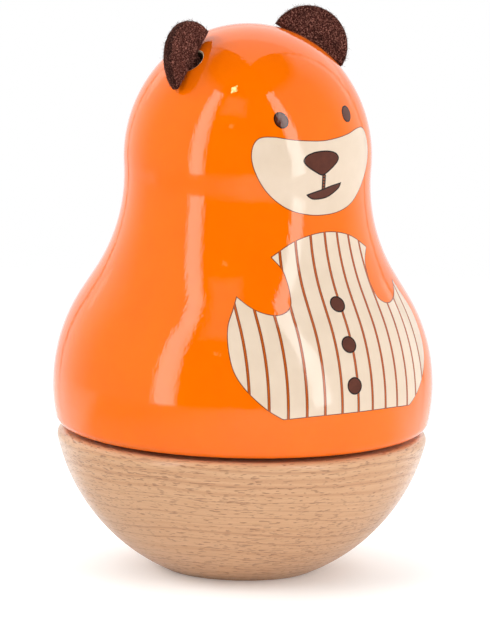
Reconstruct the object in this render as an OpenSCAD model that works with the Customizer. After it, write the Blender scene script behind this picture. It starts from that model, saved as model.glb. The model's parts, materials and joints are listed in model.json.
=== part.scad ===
// Turned wooden bear music box. The orange body holds a comb movement and turns on a round beech base.
// The movement's winding arbor is fixed in the base, so turning the body winds the mainspring.
// Millimetres, +Z up, origin at the centre of the foot, bear facing -Y.

/* [Base] */
// Radius of the ball that the base is turned from
ball_r = 50; // [48:0.5:52]
// Height of the ball's centre over the foot
ball_z = 46; // [44.5:0.1:47]
// Height of the base's flat top
base_top = 37.1; // [36:0.1:38.5]
// Rounding of the base's rim
rim_round = 2; // [1.2:0.1:3]

/* [Body form] */
// Gap between the base and the body
seam_gap = 1; // [0.6:0.1:1.6]
// Rounding of the body's lower edge
hem_round = 3; // [2:0.1:3.6]
// Distance of the belly arc's centre from the axis
belly_x = 5; // [4:0.1:6]
// Height of the belly arc's centre
belly_z = 49.2; // [48:0.1:50.5]
// Radius of the belly arc
belly_r = 45.2; // [44:0.1:46.5]
// Slope angle where the belly arc ends
belly_end = 32.2; // [30.5:0.1:34.5]
// Length of the straight run between belly and neck
slope_len = 6.5; // [4:0.1:8]
// Radius of the hollow neck arc
neck_r = 47.5; // [43:0.1:51]
// Slope angle under level where the neck arc ends
neck_end = 4.1; // [3:0.1:6]
// Radius of the cheek arc
cheek_r = 37.1; // [36:0.1:39]
// Slope angle where the cheek arc ends and the round crown starts
cheek_end = 38; // [36:0.1:40]
// Radius of the sound bore in the neck and head
bore_r = 18; // [15:0.5:20]
// Height of the sound bore's end
bore_top = 112; // [106:1:116]

/* [Ears] */
// Radius of the half-round felt ear
ear_r = 10.5; // [9:0.1:12]
// Thickness of the felt
felt_t = 2.5; // [2:0.1:3]
// Angle of the bear's left ear hole from the top of the head
left_tilt = 38; // [34:0.5:42]
// Angle of the bear's right ear hole from the top of the head
right_tilt = 41; // [36:0.5:43]
// Turn of the left ear's outer end towards the front
left_turn = 30; // [15:1:40]
// Turn of the right ear's outer end towards the front
right_turn = 16; // [10:1:40]
// Angle of the right ear's hole towards the front
right_forward = 4; // [0:0.5:8]
// Radius of the hole that takes the ear's tab
ear_hole_r = 3.5; // [3.3:0.1:4.2]
// Depth of the ear hole
ear_hole_depth = 9; // [7:0.5:11]
// Width of the ear's tab
ear_tab_w = 5; // [4:0.1:5.4]
// How far the ear's straight edge sits under the crown's highest point
ear_sink = 0.2; // [0.1:0.05:0.25]

/* [Floor and drive] */
// Recess of the floor disc in the body's mouth
floor_recess = 1; // [0.6:0.1:1.6]
// Thickness of the plywood floor disc
floor_t = 5; // [4:0.5:6]
// Radius of the winding arbor
arbor_r = 2.5; // [2:0.1:2.8]
// Outer radius of the threaded insert in the base
insert_r = 4.5; // [4:0.1:6]
// Length of the threaded insert
insert_len = 14; // [10:1:18]
// Inner radius of the glide ring
glide_in = 22; // [20:0.5:25]
// Width of the glide ring
glide_w = 10; // [6:0.5:12]

/* [Bedplate and barrel] */
// Thickness of the cast bedplate
bed_t = 2.5; // [2:0.1:3]
// Gap under the drive wheel
wheel_lift = 1; // [0.8:0.1:1.4]
// Thickness of the drive wheel's disc
wheel_disc_t = 1.2; // [1:0.1:1.6]
// Room for the ratchet between the drive wheel and the barrel
ratchet_room = 1.5; // [1.4:0.1:2]
// Thickness of the ratchet wheel and its click
ratchet_t = 0.9; // [0.7:0.1:1.1]
// Outer radius of the ratchet wheel
ratchet_r = 5.4; // [5:0.1:5.8]
// Number of ratchet teeth
ratchet_teeth = 12; // [10:1:16]
// Height of the spring barrel
barrel_h = 11; // [9:0.5:12]
// Wall of the spring barrel
barrel_wall = 0.6; // [0.5:0.1:0.9]
// Radius of the arbor's core inside the mainspring
core_r = 3.2; // [3:0.1:3.6]
// Number of turns of the mainspring
spring_turns = 7; // [5:1:8]
// Thickness of the mainspring
spring_t = 0.25; // [0.2:0.01:0.3]
// Radius of the arbor's top pivot
pivot_r = 1.5; // [1.2:0.1:1.8]
// Thickness of the bridge over the barrel
bridge_t = 1.5; // [1.2:0.1:2]
// Radius of the pillars that carry the bridge
pillar_r = 2; // [1.8:0.1:2.4]

/* [Drum and comb] */
// Tooth module of the drive wheel and drum pinion
drive_m = 0.5; // [0.47:0.01:0.53]
// Teeth of the drive wheel
wheel_teeth = 44; // [40:1:48]
// Teeth of the drum pinion
drum_pinion_teeth = 16; // [15:1:18]
// Width of the drive wheel's tooth ring
tooth_ring_w = 2; // [1.8:0.1:2.2]
// Face width of the drum pinion
pinion_face = 1.8; // [1.4:0.1:2]
// Radius of the drum's shaft
drum_shaft_r = 1; // [0.8:0.05:1.2]
// Radius of the drum
drum_r = 5.5; // [5:0.1:5.6]
// Length of the drum
drum_len = 14.6; // [13:0.1:16]
// Wall of the drum
drum_wall = 0.6; // [0.5:0.1:0.8]
// Height of the pins over the drum
pin_h = 0.7; // [0.5:0.05:0.8]
// Radius of a pin
pin_r = 0.2; // [0.15:0.01:0.24]
// Pins on each note's track
pins_per_track = 4; // [2:1:5]
// Number of comb teeth
notes = 18; // [15:1:20]
// Slit between comb teeth
comb_slit = 0.22; // [0.18:0.01:0.26]
// Thickness of the comb
comb_t = 0.8; // [0.6:0.05:1]
// Length of the longest comb tooth
bass_len = 11; // [9:0.5:12]
// Length of the shortest comb tooth
treble_len = 7.5; // [6:0.5:8.5]
// Depth of the comb's solid base behind its longest tooth
comb_land = 5; // [4.6:0.1:6]

/* [Governor] */
// Tooth module of the governor's wheels
gov_m = 0.4; // [0.39:0.005:0.42]
// Teeth of the wheel on the drum's end
drum_gear_teeth = 44; // [43:1:45]
// Teeth of the second arbor's pinion
second_pinion_teeth = 10; // [10:1:12]
// Teeth of the worm wheel
worm_wheel_teeth = 20; // [18:1:20]
// Pitch radius of the worm
worm_r = 1.8; // [1.6:0.05:2]
// Turns of the worm's thread
worm_turns = 3; // [2:1:4]
// Thickness of the governor's wheels
gear_t = 1.2; // [1:0.1:1.4]
// Radius of the second arbor and the fly's arbor
fine_shaft_r = 0.75; // [0.6:0.05:0.9]
// Distance of the worm from the drum's inner end
worm_along = 9; // [8:0.1:10]
// Sheet thickness of the governor's frame and the brackets
plate_t = 1; // [0.8:0.1:1.2]
// Radius of the fly's wings
fly_r = 6; // [5:0.1:6.5]
// Height of the fly's wings
fly_h = 5; // [4:0.1:6]

/* [Screws] */
// Shank radius of the floor's wood screws
wood_screw_r = 1.25; // [1:0.05:1.4]
// Length of the floor's wood screws
wood_screw_len = 14; // [12:1:18]
// Shank radius of the bedplate's machine screws
machine_screw_r = 1.25; // [1:0.05:1.5]
// Shank radius of the small movement screws
small_screw_r = 1; // [0.8:0.05:1.1]

/* [Hidden] */
$fn = 72;

// Clearances
seat = 0.02;
run = 0.05;
side_gap = 0.4;
comb_gap = 0.15;
glide_gap = 0.1;
room = 1;
past = 1;
backlash = 0.16;
pressure = 20;

// Screw heads
small_head_r = 1.9 * small_screw_r;
small_head_h = 1.2 * small_screw_r;
machine_head_r = 2 * machine_screw_r;
machine_head_h = 1.3 * machine_screw_r;
wood_head_r = 2 * wood_screw_r;

// Heights of the stack, from the base up
body_bottom = base_top + seam_gap;
floor_z = body_bottom + floor_recess;
bed_z = floor_z + floor_t;
bed_top = bed_z + bed_t;
wheel_z = bed_top + wheel_lift;
wheel_face_z = wheel_z + wheel_disc_t;
drive_pitch_z = wheel_face_z + 1.25 * drive_m;
drum_pinion_r = drive_m * drum_pinion_teeth / 2;
drum_z = drive_pitch_z + drum_pinion_r;
ratchet_z = wheel_face_z + (ratchet_room - ratchet_t) / 2;
barrel_z = wheel_face_z + ratchet_room;
barrel_top = barrel_z + barrel_h;
bridge_top = barrel_top + bridge_t;

// Drive wheel, and what lies along the drum's axis in +X
wheel_r = drive_m * wheel_teeth / 2;
wheel_out = wheel_r + tooth_ring_w / 2;
barrel_r = wheel_r - tooth_ring_w / 2 - side_gap;
bracket_x = wheel_out + side_gap;
drum_x = bracket_x + plate_t + side_gap;
drum_end = drum_x + drum_len;
drum_gear_x = drum_end + side_gap;
outer_plate_x = drum_gear_x + gear_t + side_gap;
outer_plate_end = outer_plate_x + plate_t;
drum_gear_r = gov_m * drum_gear_teeth / 2;
drum_gear_tip = drum_gear_r + gov_m;

// Second arbor, worm and fly on the +Y side of the drum
second_y = gov_m * (drum_gear_teeth + second_pinion_teeth) / 2;
worm_wheel_tip = gov_m * (worm_wheel_teeth / 2 + 1);
worm_x = drum_x + worm_along;
worm_y = second_y + gov_m * worm_wheel_teeth / 2 + worm_r;
worm_lead = PI * gov_m;
worm_len = worm_turns * worm_lead;
worm_tip = worm_r + gov_m;
inner_plate_x = worm_x - worm_tip - 2 * plate_t - side_gap;
frame_front = drum_r + pin_h + side_gap + plate_t;
frame_back = worm_y + worm_tip + side_gap;
cock_z = drum_z + worm_wheel_tip + side_gap;
cock_top = cock_z + plate_t;
cock_leg_y = frame_back + side_gap;
cock_w = 5;
cock_foot_len = plate_t + 2 * (small_head_r + side_gap);
cock_back = cock_leg_y + cock_foot_len;
fly_z = cock_top + side_gap;
fly_top = fly_z + fly_h;

// Comb on the -Y side of the drum
comb_tip = drum_r + pin_h + comb_gap;
comb_root = comb_tip + bass_len;
comb_back = comb_root + comb_land;
note_pitch = drum_len / notes;
comb_z = drum_z - comb_t / 2;
comb_top = comb_z + comb_t;

// Pillars, chamber and floor disc
pillar_ring = wheel_out + room + pillar_r;
pillar_angles = [90, 180, 270];
bridge_screw_top = bridge_top + small_head_h;
corner_reach = max(
    norm([outer_plate_end, frame_back]),
    norm([drum_end, comb_back]),
    norm([worm_x + cock_w / 2, cock_back]),
    norm([worm_x, worm_y]) + fly_r
);
chamber_r = corner_reach + room;
chamber_top = max(fly_top, bridge_screw_top) + room;
floor_screw_ring = chamber_r + room + wood_screw_r;
floor_r = floor_screw_ring + wood_head_r + side_gap;
floor_screw_angles = [45, 135, 225, 315];
bed_screw_ring = pillar_ring + pillar_r;
bed_screw_angles = [140, 220, 315];
bed_r = corner_reach + room / 2;
bed_left = pillar_ring + pillar_r + room;
bed_right = outer_plate_end + room;
gear_slot_half = drum_gear_tip;

// Places of the small screws on the bedplate
bracket_foot = 6;
bracket_foot_y = drum_r + pin_h + room + bracket_foot / 2;
bracket_screw_at = [bracket_x + plate_t + bracket_foot / 2, -bracket_foot_y];
governor_screw_inset = small_head_r + side_gap;
governor_screws_at = [
    [inner_plate_x + plate_t + governor_screw_inset, frame_front + governor_screw_inset],
    [outer_plate_x - governor_screw_inset, frame_back - governor_screw_inset]
];
cock_screw_at = [worm_x, cock_back - small_head_r - side_gap];
comb_screw_y = -(comb_root + comb_land / 2);
comb_screws_at = [[drum_x + drum_len / 4, comb_screw_y], [drum_x + 3 * drum_len / 4, comb_screw_y]];
foot_thread = bed_t - side_gap;

// Turned outline of the body: belly, straight slope, hollow neck, cheek and round crown
// Places where its bands meet are kept to hundredths, so that they meet exactly
function slope_dir(a) = [cos(a), sin(a)];
function hundredths(v) = floor(100 * v) / 100;
belly_c = [belly_x, belly_z];
belly_p = belly_c + belly_r * slope_dir(belly_end);
slope_p = belly_p + slope_len * slope_dir(belly_end + 90);
neck_c = slope_p + neck_r * slope_dir(belly_end);
neck_p = neck_c - neck_r * slope_dir(-neck_end);
cheek_c = neck_p - cheek_r * slope_dir(-neck_end);
cheek_p = cheek_c + cheek_r * slope_dir(cheek_end);
crown_r = cheek_p[0] / cos(cheek_end);
crown_z = cheek_p[1] - cheek_p[0] * tan(cheek_end);
crown_top = crown_z + crown_r;
belly_level = hundredths(belly_p[1]);
slope_level = hundredths(slope_p[1]);
neck_level = hundredths(neck_p[1]);
cheek_level = hundredths(cheek_p[1]);

// Rounding that meets the belly arc smoothly, and the rim's, which starts a little inside the ball
hem_z = body_bottom + hem_round;
hem_x = hundredths(belly_x + sqrt(pow(belly_r - hem_round, 2) - pow(belly_z - hem_z, 2)));
hem_level = hundredths(belly_z + belly_r / (belly_r - hem_round) * (hem_z - belly_z));
rim_z = base_top - rim_round;
rim_x = hundredths(sqrt(pow(ball_r - rim_round, 2) - pow(ball_z - rim_z, 2)));

// A level band of a turned outline, from the axis outwards
module band(from_z, to_z, reach) {
    translate([0, from_z]) square([reach, to_z - from_z]);
}

// A level band of a round, for stacking arcs end to end
module arc_band(centre, r, from_z, to_z) {
    intersection() {
        translate(centre) circle(r);
        band(from_z, to_z, centre[0] + r + past);
    }
}

// The outline's lowest band, with its outer edge rounded
module edge_band(centre, r, from_z, to_z) {
    band(from_z, to_z, centre[0]);
    intersection() {
        translate(centre) circle(r);
        translate([centre[0], from_z]) square([r, to_z - from_z]);
    }
}

module body_outline() {
    edge_band([hem_x, hem_z], hem_round, body_bottom, hem_level);
    arc_band(belly_c, belly_r, hem_level, belly_level);
    polygon([[0, belly_level], [belly_p[0], belly_level], [slope_p[0], slope_level], [0, slope_level]]);
    difference() {
        band(slope_level, neck_level, neck_c[0]);
        translate(neck_c) circle(neck_r);
    }
    arc_band(cheek_c, cheek_r, neck_level, cheek_level);
    arc_band([0, crown_z], crown_r, cheek_level, crown_top + past);
}

// Wheel teeth with involute flanks; thin is how much each tooth gives up for backlash
function involute(a) = tan(a) * 180 / PI - a;
function half_tooth(n, m, thin, r) =
    let (base_r = m * n / 2 * cos(pressure))
    let (a = r > base_r ? acos(base_r / r) : 0)
    90 / n - thin / (m * n) * 180 / PI + involute(pressure) - involute(a);
function polar(r, a) = [r * cos(a), r * sin(a)];
function wheel_points(n, m, thin, steps = 3) =
    let (root = m * (n / 2 - 1.25))
    let (radii = [for (i = [0 : steps]) root + 2.25 * m * i / steps])
    [for (k = [0 : n - 1], side = [-1, 1], i = [0 : steps])
        let (r = radii[side < 0 ? i : steps - i])
        polar(r, 360 * k / n + side * half_tooth(n, m, thin, r))];

// A spur wheel with its bore; start is the angle of its first tooth
module spur(n, m, t, bore, start) {
    difference() {
        linear_extrude(t) rotate(start) polygon(wheel_points(n, m, backlash));
        translate([0, 0, -past]) cylinder(r = bore, h = t + 2 * past);
    }
}

// Puts a piece that is drawn upright on an axis along +X, over a point of the (y, z) plane
module along_x(x, y, z) {
    translate([x, y, z]) rotate([90, 0, 90]) children();
}

// A bored tube
module tube(outer, inner, h) {
    difference() {
        cylinder(r = outer, h = h);
        translate([0, 0, -past]) cylinder(r = inner, h = h + 2 * past);
    }
}

// A slotted pan-head screw, head up, with the underside of its head at z = 0
module pan_screw(r, head_r, head_h, len) {
    slot_w = head_r / 3;
    difference() {
        union() {
            cylinder(r = head_r, h = head_h);
            translate([0, 0, -len]) cylinder(r = r, h = len + head_h / 2);
        }
        translate([-head_r, -slot_w / 2, head_h / 2]) cube([2 * head_r, slot_w, head_h]);
    }
}

module at_angles(ring, angles) {
    for (a = angles) rotate(a) translate([ring, 0, 0]) children();
}

// Base, which stands still

module base_bowl() {
    color("burlywood") rotate_extrude() difference() {
        intersection() {
            translate([0, ball_z]) circle(ball_r);
            union() {
                band(0, rim_z, rim_x + rim_round);
                band(rim_z, base_top, rim_x);
                translate([rim_x, rim_z]) circle(rim_round);
            }
        }
        band(base_top - insert_len, base_top + past, insert_r + seat);
    }
}

module threaded_insert() {
    color("goldenrod") translate([0, 0, base_top - insert_len])
        tube(insert_r, arbor_r + seat, insert_len);
}

module glide_ring() {
    color("ivory") translate([0, 0, base_top])
        tube(glide_in + glide_w, glide_in, floor_z - base_top - glide_gap);
}

module winding_arbor() {
    bottom = base_top - insert_len;
    color("silver") {
        translate([0, 0, bottom]) cylinder(r = arbor_r, h = barrel_top - bottom - side_gap);
        translate([0, 0, barrel_z + barrel_wall + run])
            cylinder(r = core_r, h = barrel_h - barrel_wall - run - side_gap);
        translate([0, 0, barrel_z]) cylinder(r = pivot_r, h = bridge_top - barrel_z);
    }
}

module drive_wheel() {
    pitch_gap = PI * drive_m / 4 + backlash / 2;
    low_gap = pitch_gap - 1.25 * drive_m * tan(pressure);
    high_gap = pitch_gap + (drive_m + past) * tan(pressure);
    ring_top = drive_pitch_z + drive_m;
    color("gold") difference() {
        union() {
            translate([0, 0, wheel_z]) cylinder(r = wheel_out, h = wheel_disc_t);
            translate([0, 0, wheel_z]) tube(wheel_out, wheel_r - tooth_ring_w / 2, ring_top - wheel_z);
            translate([0, 0, bed_top + glide_gap])
                cylinder(r = 2 * arbor_r, h = wheel_face_z - bed_top - glide_gap);
        }
        translate([0, 0, bed_top - past]) cylinder(r = arbor_r + seat, h = ring_top);
        for (k = [0 : wheel_teeth - 1]) rotate(360 * (k + 0.5) / wheel_teeth)
            translate([wheel_r - tooth_ring_w, 0, drive_pitch_z]) rotate([90, 0, 90])
                linear_extrude(2 * tooth_ring_w) polygon([
                    [-low_gap, -1.25 * drive_m], [low_gap, -1.25 * drive_m],
                    [high_gap, drive_m + past], [-high_gap, drive_m + past]
                ]);
    }
}

// Ratchet: steep faces look clockwise, so the drive wheel can slip clockwise while the body is wound

tooth_depth = 0.9;
tooth_rake = 1.5;
rivet_r = 0.5;
click_eye = 1.2;
spring_eye = 1;
ratchet_root = ratchet_r - tooth_depth;
disc_reach = wheel_r - tooth_ring_w / 2;
nose_at = polar(ratchet_root + 0.4 * tooth_depth, 180 - 1.3 * tooth_rake);
click_pivot = polar(disc_reach - 2 * click_eye + side_gap, 150);
spring_pivot = polar(disc_reach - spring_eye - side_gap, 215);
click_arm = norm(nose_at - click_pivot);

module ratchet_wheel() {
    step = 360 / ratchet_teeth;
    teeth = [for (k = [0 : ratchet_teeth - 1], edge = [0, 1])
        polar(edge == 0 ? ratchet_root : ratchet_r, 180 + k * step + edge * tooth_rake)];
    color("slategray") translate([0, 0, ratchet_z]) difference() {
        linear_extrude(ratchet_t) polygon(teeth);
        translate([0, 0, -past]) cylinder(r = arbor_r + seat, h = ratchet_t + 2 * past);
    }
}

// Point beside a line from a to b, off to its left
function beside(a, b, along, off) =
    let (d = (b - a) / norm(b - a))
    a + along * d + off * [-d[1], d[0]];

module click() {
    root_half = click_eye - seat;
    color("slategray") translate([0, 0, wheel_face_z + glide_gap]) linear_extrude(ratchet_t) difference() {
        union() {
            translate(click_pivot) circle(click_eye);
            polygon([
                beside(click_pivot, nose_at, 0, -root_half),
                beside(click_pivot, nose_at, click_arm - tooth_depth, -rivet_r),
                nose_at,
                beside(click_pivot, nose_at, click_arm - 2 * tooth_depth / 3, tooth_depth / 3),
                beside(click_pivot, nose_at, 0, root_half)
            ]);
        }
        translate(click_pivot) circle(rivet_r + seat);
    }
}

module click_spring() {
    half_blade = 0.15;
    free_end = beside(click_pivot, nose_at, click_arm - click_eye, -2 * side_gap);
    blade_len = norm(free_end - spring_pivot);
    color("silver") translate([0, 0, wheel_face_z + glide_gap]) linear_extrude(ratchet_t) difference() {
        union() {
            translate(spring_pivot) circle(spring_eye);
            polygon([
                beside(spring_pivot, free_end, 0, -half_blade),
                beside(spring_pivot, free_end, blade_len, -half_blade),
                beside(spring_pivot, free_end, blade_len, half_blade),
                beside(spring_pivot, free_end, 0, half_blade)
            ]);
        }
        translate(spring_pivot) circle(rivet_r + seat);
    }
}

module click_rivets() {
    color("silver") for (p = [click_pivot, spring_pivot]) translate([p[0], p[1], wheel_face_z])
        cylinder(r = rivet_r, h = ratchet_t + 2 * glide_gap);
}

// Body, which turns on the base

// The ear's own frame: chord along X, outwards along Z, middle of the chord at the origin
module left_ear_place() {
    translate([0, 0, crown_z]) rotate([0, left_tilt, 0])
        translate([0, 0, crown_r - ear_sink]) rotate(-left_turn) children();
}

module right_ear_place() {
    rotate(right_forward) translate([0, 0, crown_z]) rotate([0, -right_tilt, 0])
        translate([0, 0, crown_r - ear_sink]) rotate(right_turn) children();
}

module ear_hole() {
    bevel = 0.5;
    translate([0, 0, ear_sink]) {
        translate([0, 0, -ear_hole_depth]) cylinder(r = ear_hole_r, h = ear_hole_depth + past);
        translate([0, 0, -bevel]) cylinder(r1 = ear_hole_r, r2 = ear_hole_r + bevel + past, h = bevel + past);
    }
}

module ear() {
    tab_len = ear_hole_depth - ear_sink - side_gap;
    rotate([90, 0, 0]) linear_extrude(felt_t, center = true) {
        intersection() {
            circle(ear_r);
            translate([-ear_r, 0]) square([2 * ear_r, ear_r]);
        }
        translate([-ear_tab_w / 2, -tab_len]) square([ear_tab_w, tab_len + felt_t / 2]);
    }
}

module body_shell() {
    color("darkorange") difference() {
        rotate_extrude() difference() {
            body_outline();
            band(body_bottom - past, bed_z, floor_r + seat);
            band(body_bottom - past, chamber_top, chamber_r);
            band(body_bottom - past, bore_top, bore_r);
        }
        left_ear_place() ear_hole();
        right_ear_place() ear_hole();
        at_angles(floor_screw_ring, floor_screw_angles)
            translate([0, 0, bed_z - past]) cylinder(r = wood_screw_r, h = wood_screw_len - floor_t + past);
    }
}

module ear_left() {
    color([0.29, 0.2, 0.19]) left_ear_place() ear();
}

module ear_right() {
    color([0.29, 0.2, 0.19]) right_ear_place() ear();
}

module floor_disc() {
    color("wheat") difference() {
        translate([0, 0, floor_z]) cylinder(r = floor_r, h = floor_t);
        translate([0, 0, floor_z - past]) cylinder(r = arbor_r + room, h = floor_t + 2 * past);
        at_angles(floor_screw_ring, floor_screw_angles) translate([0, 0, floor_z]) {
            translate([0, 0, -past]) cylinder(r = wood_screw_r + seat, h = floor_t + 2 * past);
            cylinder(r1 = wood_head_r + seat, r2 = wood_screw_r + seat, h = wood_head_r - wood_screw_r);
        }
        at_angles(bed_screw_ring, bed_screw_angles) translate([0, 0, floor_z - past]) {
            cylinder(r = machine_screw_r + seat, h = floor_t + 2 * past);
            cylinder(r = machine_head_r + side_gap, h = machine_head_h + side_gap + past);
        }
    }
}

module floor_screws() {
    slot_w = wood_head_r / 4;
    color("dimgray") at_angles(floor_screw_ring, floor_screw_angles) translate([0, 0, floor_z]) difference() {
        union() {
            cylinder(r1 = wood_head_r, r2 = wood_screw_r, h = wood_head_r - wood_screw_r);
            cylinder(r = wood_screw_r - seat, h = wood_screw_len - side_gap);
        }
        translate([-wood_head_r, -slot_w / 2, -past]) cube([2 * wood_head_r, slot_w, past + wood_head_r / 4]);
    }
}

// Outline of the bedplate, seen from above
module bed_outline() {
    intersection() {
        circle(bed_r);
        translate([-bed_left, -comb_back]) square([bed_left + bed_right, comb_back + cock_back]);
    }
}

module bedplate() {
    color("darkgray") difference() {
        union() {
            translate([0, 0, bed_z]) linear_extrude(bed_t) bed_outline();
            translate([drum_x, -comb_back, bed_top - seat])
                cube([drum_len, comb_land, comb_z - bed_top + seat]);
        }
        translate([0, 0, bed_z - past]) cylinder(r = arbor_r + run, h = bed_t + 2 * past);
        at_angles(bed_screw_ring, bed_screw_angles)
            translate([0, 0, bed_z - past]) cylinder(r = machine_screw_r + seat, h = bed_t + 2 * past);
        at_angles(pillar_ring, pillar_angles)
            translate([0, 0, bed_z - past]) cylinder(r = small_screw_r + seat, h = bed_t + 2 * past);
        for (p = concat([bracket_screw_at, cock_screw_at], governor_screws_at))
            translate([p[0], p[1], bed_z - past]) cylinder(r = small_screw_r + seat, h = bed_t + 2 * past);
        for (p = comb_screws_at)
            translate([p[0], p[1], bed_top]) cylinder(r = small_screw_r + seat, h = comb_z - bed_top + past);
        translate([drum_gear_x - side_gap, -gear_slot_half, bed_z - past])
            cube([gear_t + 2 * side_gap, 2 * gear_slot_half, bed_t + 2 * past]);
    }
}

module bedplate_screws() {
    seat_z = floor_z + machine_head_h + side_gap;
    color("dimgray") at_angles(bed_screw_ring, bed_screw_angles) translate([0, 0, seat_z]) mirror([0, 0, 1])
        pan_screw(machine_screw_r, machine_head_r, machine_head_h, bed_top - seat_z - side_gap);
}

module spring_barrel() {
    color("silver") translate([0, 0, barrel_z]) rotate_extrude() difference() {
        translate([arbor_r + run, 0]) square([barrel_r - arbor_r - run, barrel_h]);
        translate([0, barrel_wall]) square([barrel_r - barrel_wall, barrel_h]);
    }
}

module mainspring() {
    inner = core_r + run;
    outer = barrel_r - barrel_wall - run - spring_t;
    steps = 18 * spring_turns;
    function turn_r(i) = inner + (outer - inner) * i / steps;
    color("steelblue") translate([0, 0, barrel_z + barrel_wall + side_gap])
        linear_extrude(barrel_h - barrel_wall - 2 * side_gap) polygon(concat(
            [for (i = [0 : steps]) polar(turn_r(i), 20 * i)],
            [for (i = [steps : -1 : 0]) polar(turn_r(i) + spring_t, 20 * i)]
        ));
}

module pillars() {
    color("gold") at_angles(pillar_ring, pillar_angles) {
        difference() {
            translate([0, 0, bed_top]) cylinder(r = pillar_r, h = barrel_top - bed_top);
            translate([0, 0, barrel_top - 4 * small_screw_r])
                cylinder(r = small_screw_r + seat, h = 4 * small_screw_r + past);
        }
        translate([0, 0, bed_z + side_gap]) cylinder(r = small_screw_r, h = bed_t);
    }
}

module bridge() {
    color("gold") translate([0, 0, barrel_top]) linear_extrude(bridge_t) difference() {
        union() {
            circle(barrel_r);
            at_angles(pillar_ring, pillar_angles) circle(pillar_r + side_gap);
            at_angles(0, pillar_angles)
                translate([0, -pillar_r]) square([pillar_ring, 2 * pillar_r]);
        }
        circle(pivot_r + run);
        at_angles(pillar_ring, pillar_angles) circle(small_screw_r + seat);
    }
}

module bridge_screws() {
    color("dimgray") at_angles(pillar_ring, pillar_angles) translate([0, 0, bridge_top])
        pan_screw(small_screw_r, small_head_r, small_head_h, bridge_t + 3 * small_screw_r);
}

module comb() {
    function tooth_len(i) = bass_len + (treble_len - bass_len) * i / (notes - 1);
    front = [for (i = [0 : notes - 1], corner = [0 : 3])
        let (left = drum_x + i * note_pitch + comb_slit / 2)
        let (right = left + note_pitch - comb_slit)
        let (root = -comb_tip - tooth_len(i))
        [corner < 2 ? left : right, corner == 0 || corner == 3 ? root : -comb_tip]];
    color("gainsboro") translate([0, 0, comb_z]) linear_extrude(comb_t) difference() {
        polygon(concat(front, [
            [drum_end - comb_slit / 2, -comb_back],
            [drum_x + comb_slit / 2, -comb_back]
        ]));
        for (p = comb_screws_at) translate(p) circle(small_screw_r + seat);
    }
}

module comb_screws() {
    color("dimgray") for (p = comb_screws_at) translate([p[0], p[1], comb_top])
        pan_screw(small_screw_r, small_head_r, small_head_h, comb_top - bed_top - side_gap);
}

module drum_bracket() {
    boss = 4 * drum_shaft_r;
    foot_edge = bracket_foot_y + bracket_foot / 2;
    color("darkgray") difference() {
        union() {
            along_x(bracket_x, 0, 0) linear_extrude(plate_t) {
                translate([0, drum_z]) circle(boss);
                translate([-boss, bed_top]) square([2 * boss, drum_z - bed_top]);
                translate([-foot_edge, bed_top]) square([foot_edge, 3 * plate_t]);
            }
            translate([bracket_x, -foot_edge, bed_top]) cube([plate_t + bracket_foot, bracket_foot, plate_t]);
        }
        along_x(bracket_x - past, 0, drum_z) cylinder(r = drum_shaft_r + run, h = plate_t + 2 * past);
        translate([bracket_screw_at[0], bracket_screw_at[1], bed_top - past])
            cylinder(r = small_screw_r + seat, h = plate_t + 2 * past);
    }
}

// A small screw that holds a foot of sheet metal on the bedplate
module foot_screw(p) {
    translate([p[0], p[1], bed_top + plate_t])
        pan_screw(small_screw_r, small_head_r, small_head_h, plate_t + foot_thread);
}

module bracket_screw() {
    color("dimgray") foot_screw(bracket_screw_at);
}

module governor_frame() {
    boss = 4 * drum_shaft_r;
    shoulder = drum_z + 4 * fine_shaft_r;
    color("goldenrod") difference() {
        union() {
            translate([inner_plate_x, frame_front, bed_top])
                cube([outer_plate_end - inner_plate_x, frame_back - frame_front, plate_t]);
            translate([inner_plate_x, frame_front, bed_top])
                cube([plate_t, second_y + boss - frame_front, shoulder - bed_top]);
            along_x(outer_plate_x, 0, 0) linear_extrude(plate_t) {
                translate([0, drum_z]) circle(boss);
                translate([-boss, bed_top]) square([2 * boss, drum_z - bed_top]);
                translate([0, bed_top]) square([second_y + boss, shoulder - bed_top]);
            }
        }
        along_x(outer_plate_x - past, 0, drum_z) cylinder(r = drum_shaft_r + run, h = plate_t + 2 * past);
        along_x(inner_plate_x - past, second_y, drum_z)
            cylinder(r = fine_shaft_r + run, h = outer_plate_end - inner_plate_x + 2 * past);
        translate([worm_x, worm_y, bed_top - past]) cylinder(r = fine_shaft_r + run, h = plate_t + 2 * past);
        for (p = governor_screws_at) translate([p[0], p[1], bed_top - past])
            cylinder(r = small_screw_r + seat, h = plate_t + 2 * past);
    }
}

module governor_screws() {
    color("dimgray") for (p = governor_screws_at) foot_screw(p);
}

module worm_cock() {
    left = worm_x - cock_w / 2;
    front = worm_y - cock_w / 2;
    color("goldenrod") difference() {
        union() {
            translate([left, cock_leg_y, bed_top]) cube([cock_w, cock_foot_len, plate_t]);
            translate([left, cock_leg_y, bed_top]) cube([cock_w, plate_t, cock_top - bed_top]);
            translate([left, front, cock_z]) cube([cock_w, cock_leg_y + plate_t - front, plate_t]);
        }
        translate([worm_x, worm_y, cock_z - past]) cylinder(r = fine_shaft_r + run, h = plate_t + 2 * past);
        translate([cock_screw_at[0], cock_screw_at[1], bed_top - past])
            cylinder(r = small_screw_r + seat, h = plate_t + 2 * past);
    }
}

module cock_screw() {
    color("dimgray") foot_screw(cock_screw_at);
}

// Drum, which the drive wheel turns

module drum_shaft() {
    start = wheel_r - pinion_face / 2;
    color("silver") along_x(start, 0, drum_z) cylinder(r = drum_shaft_r, h = outer_plate_end - start);
}

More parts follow.
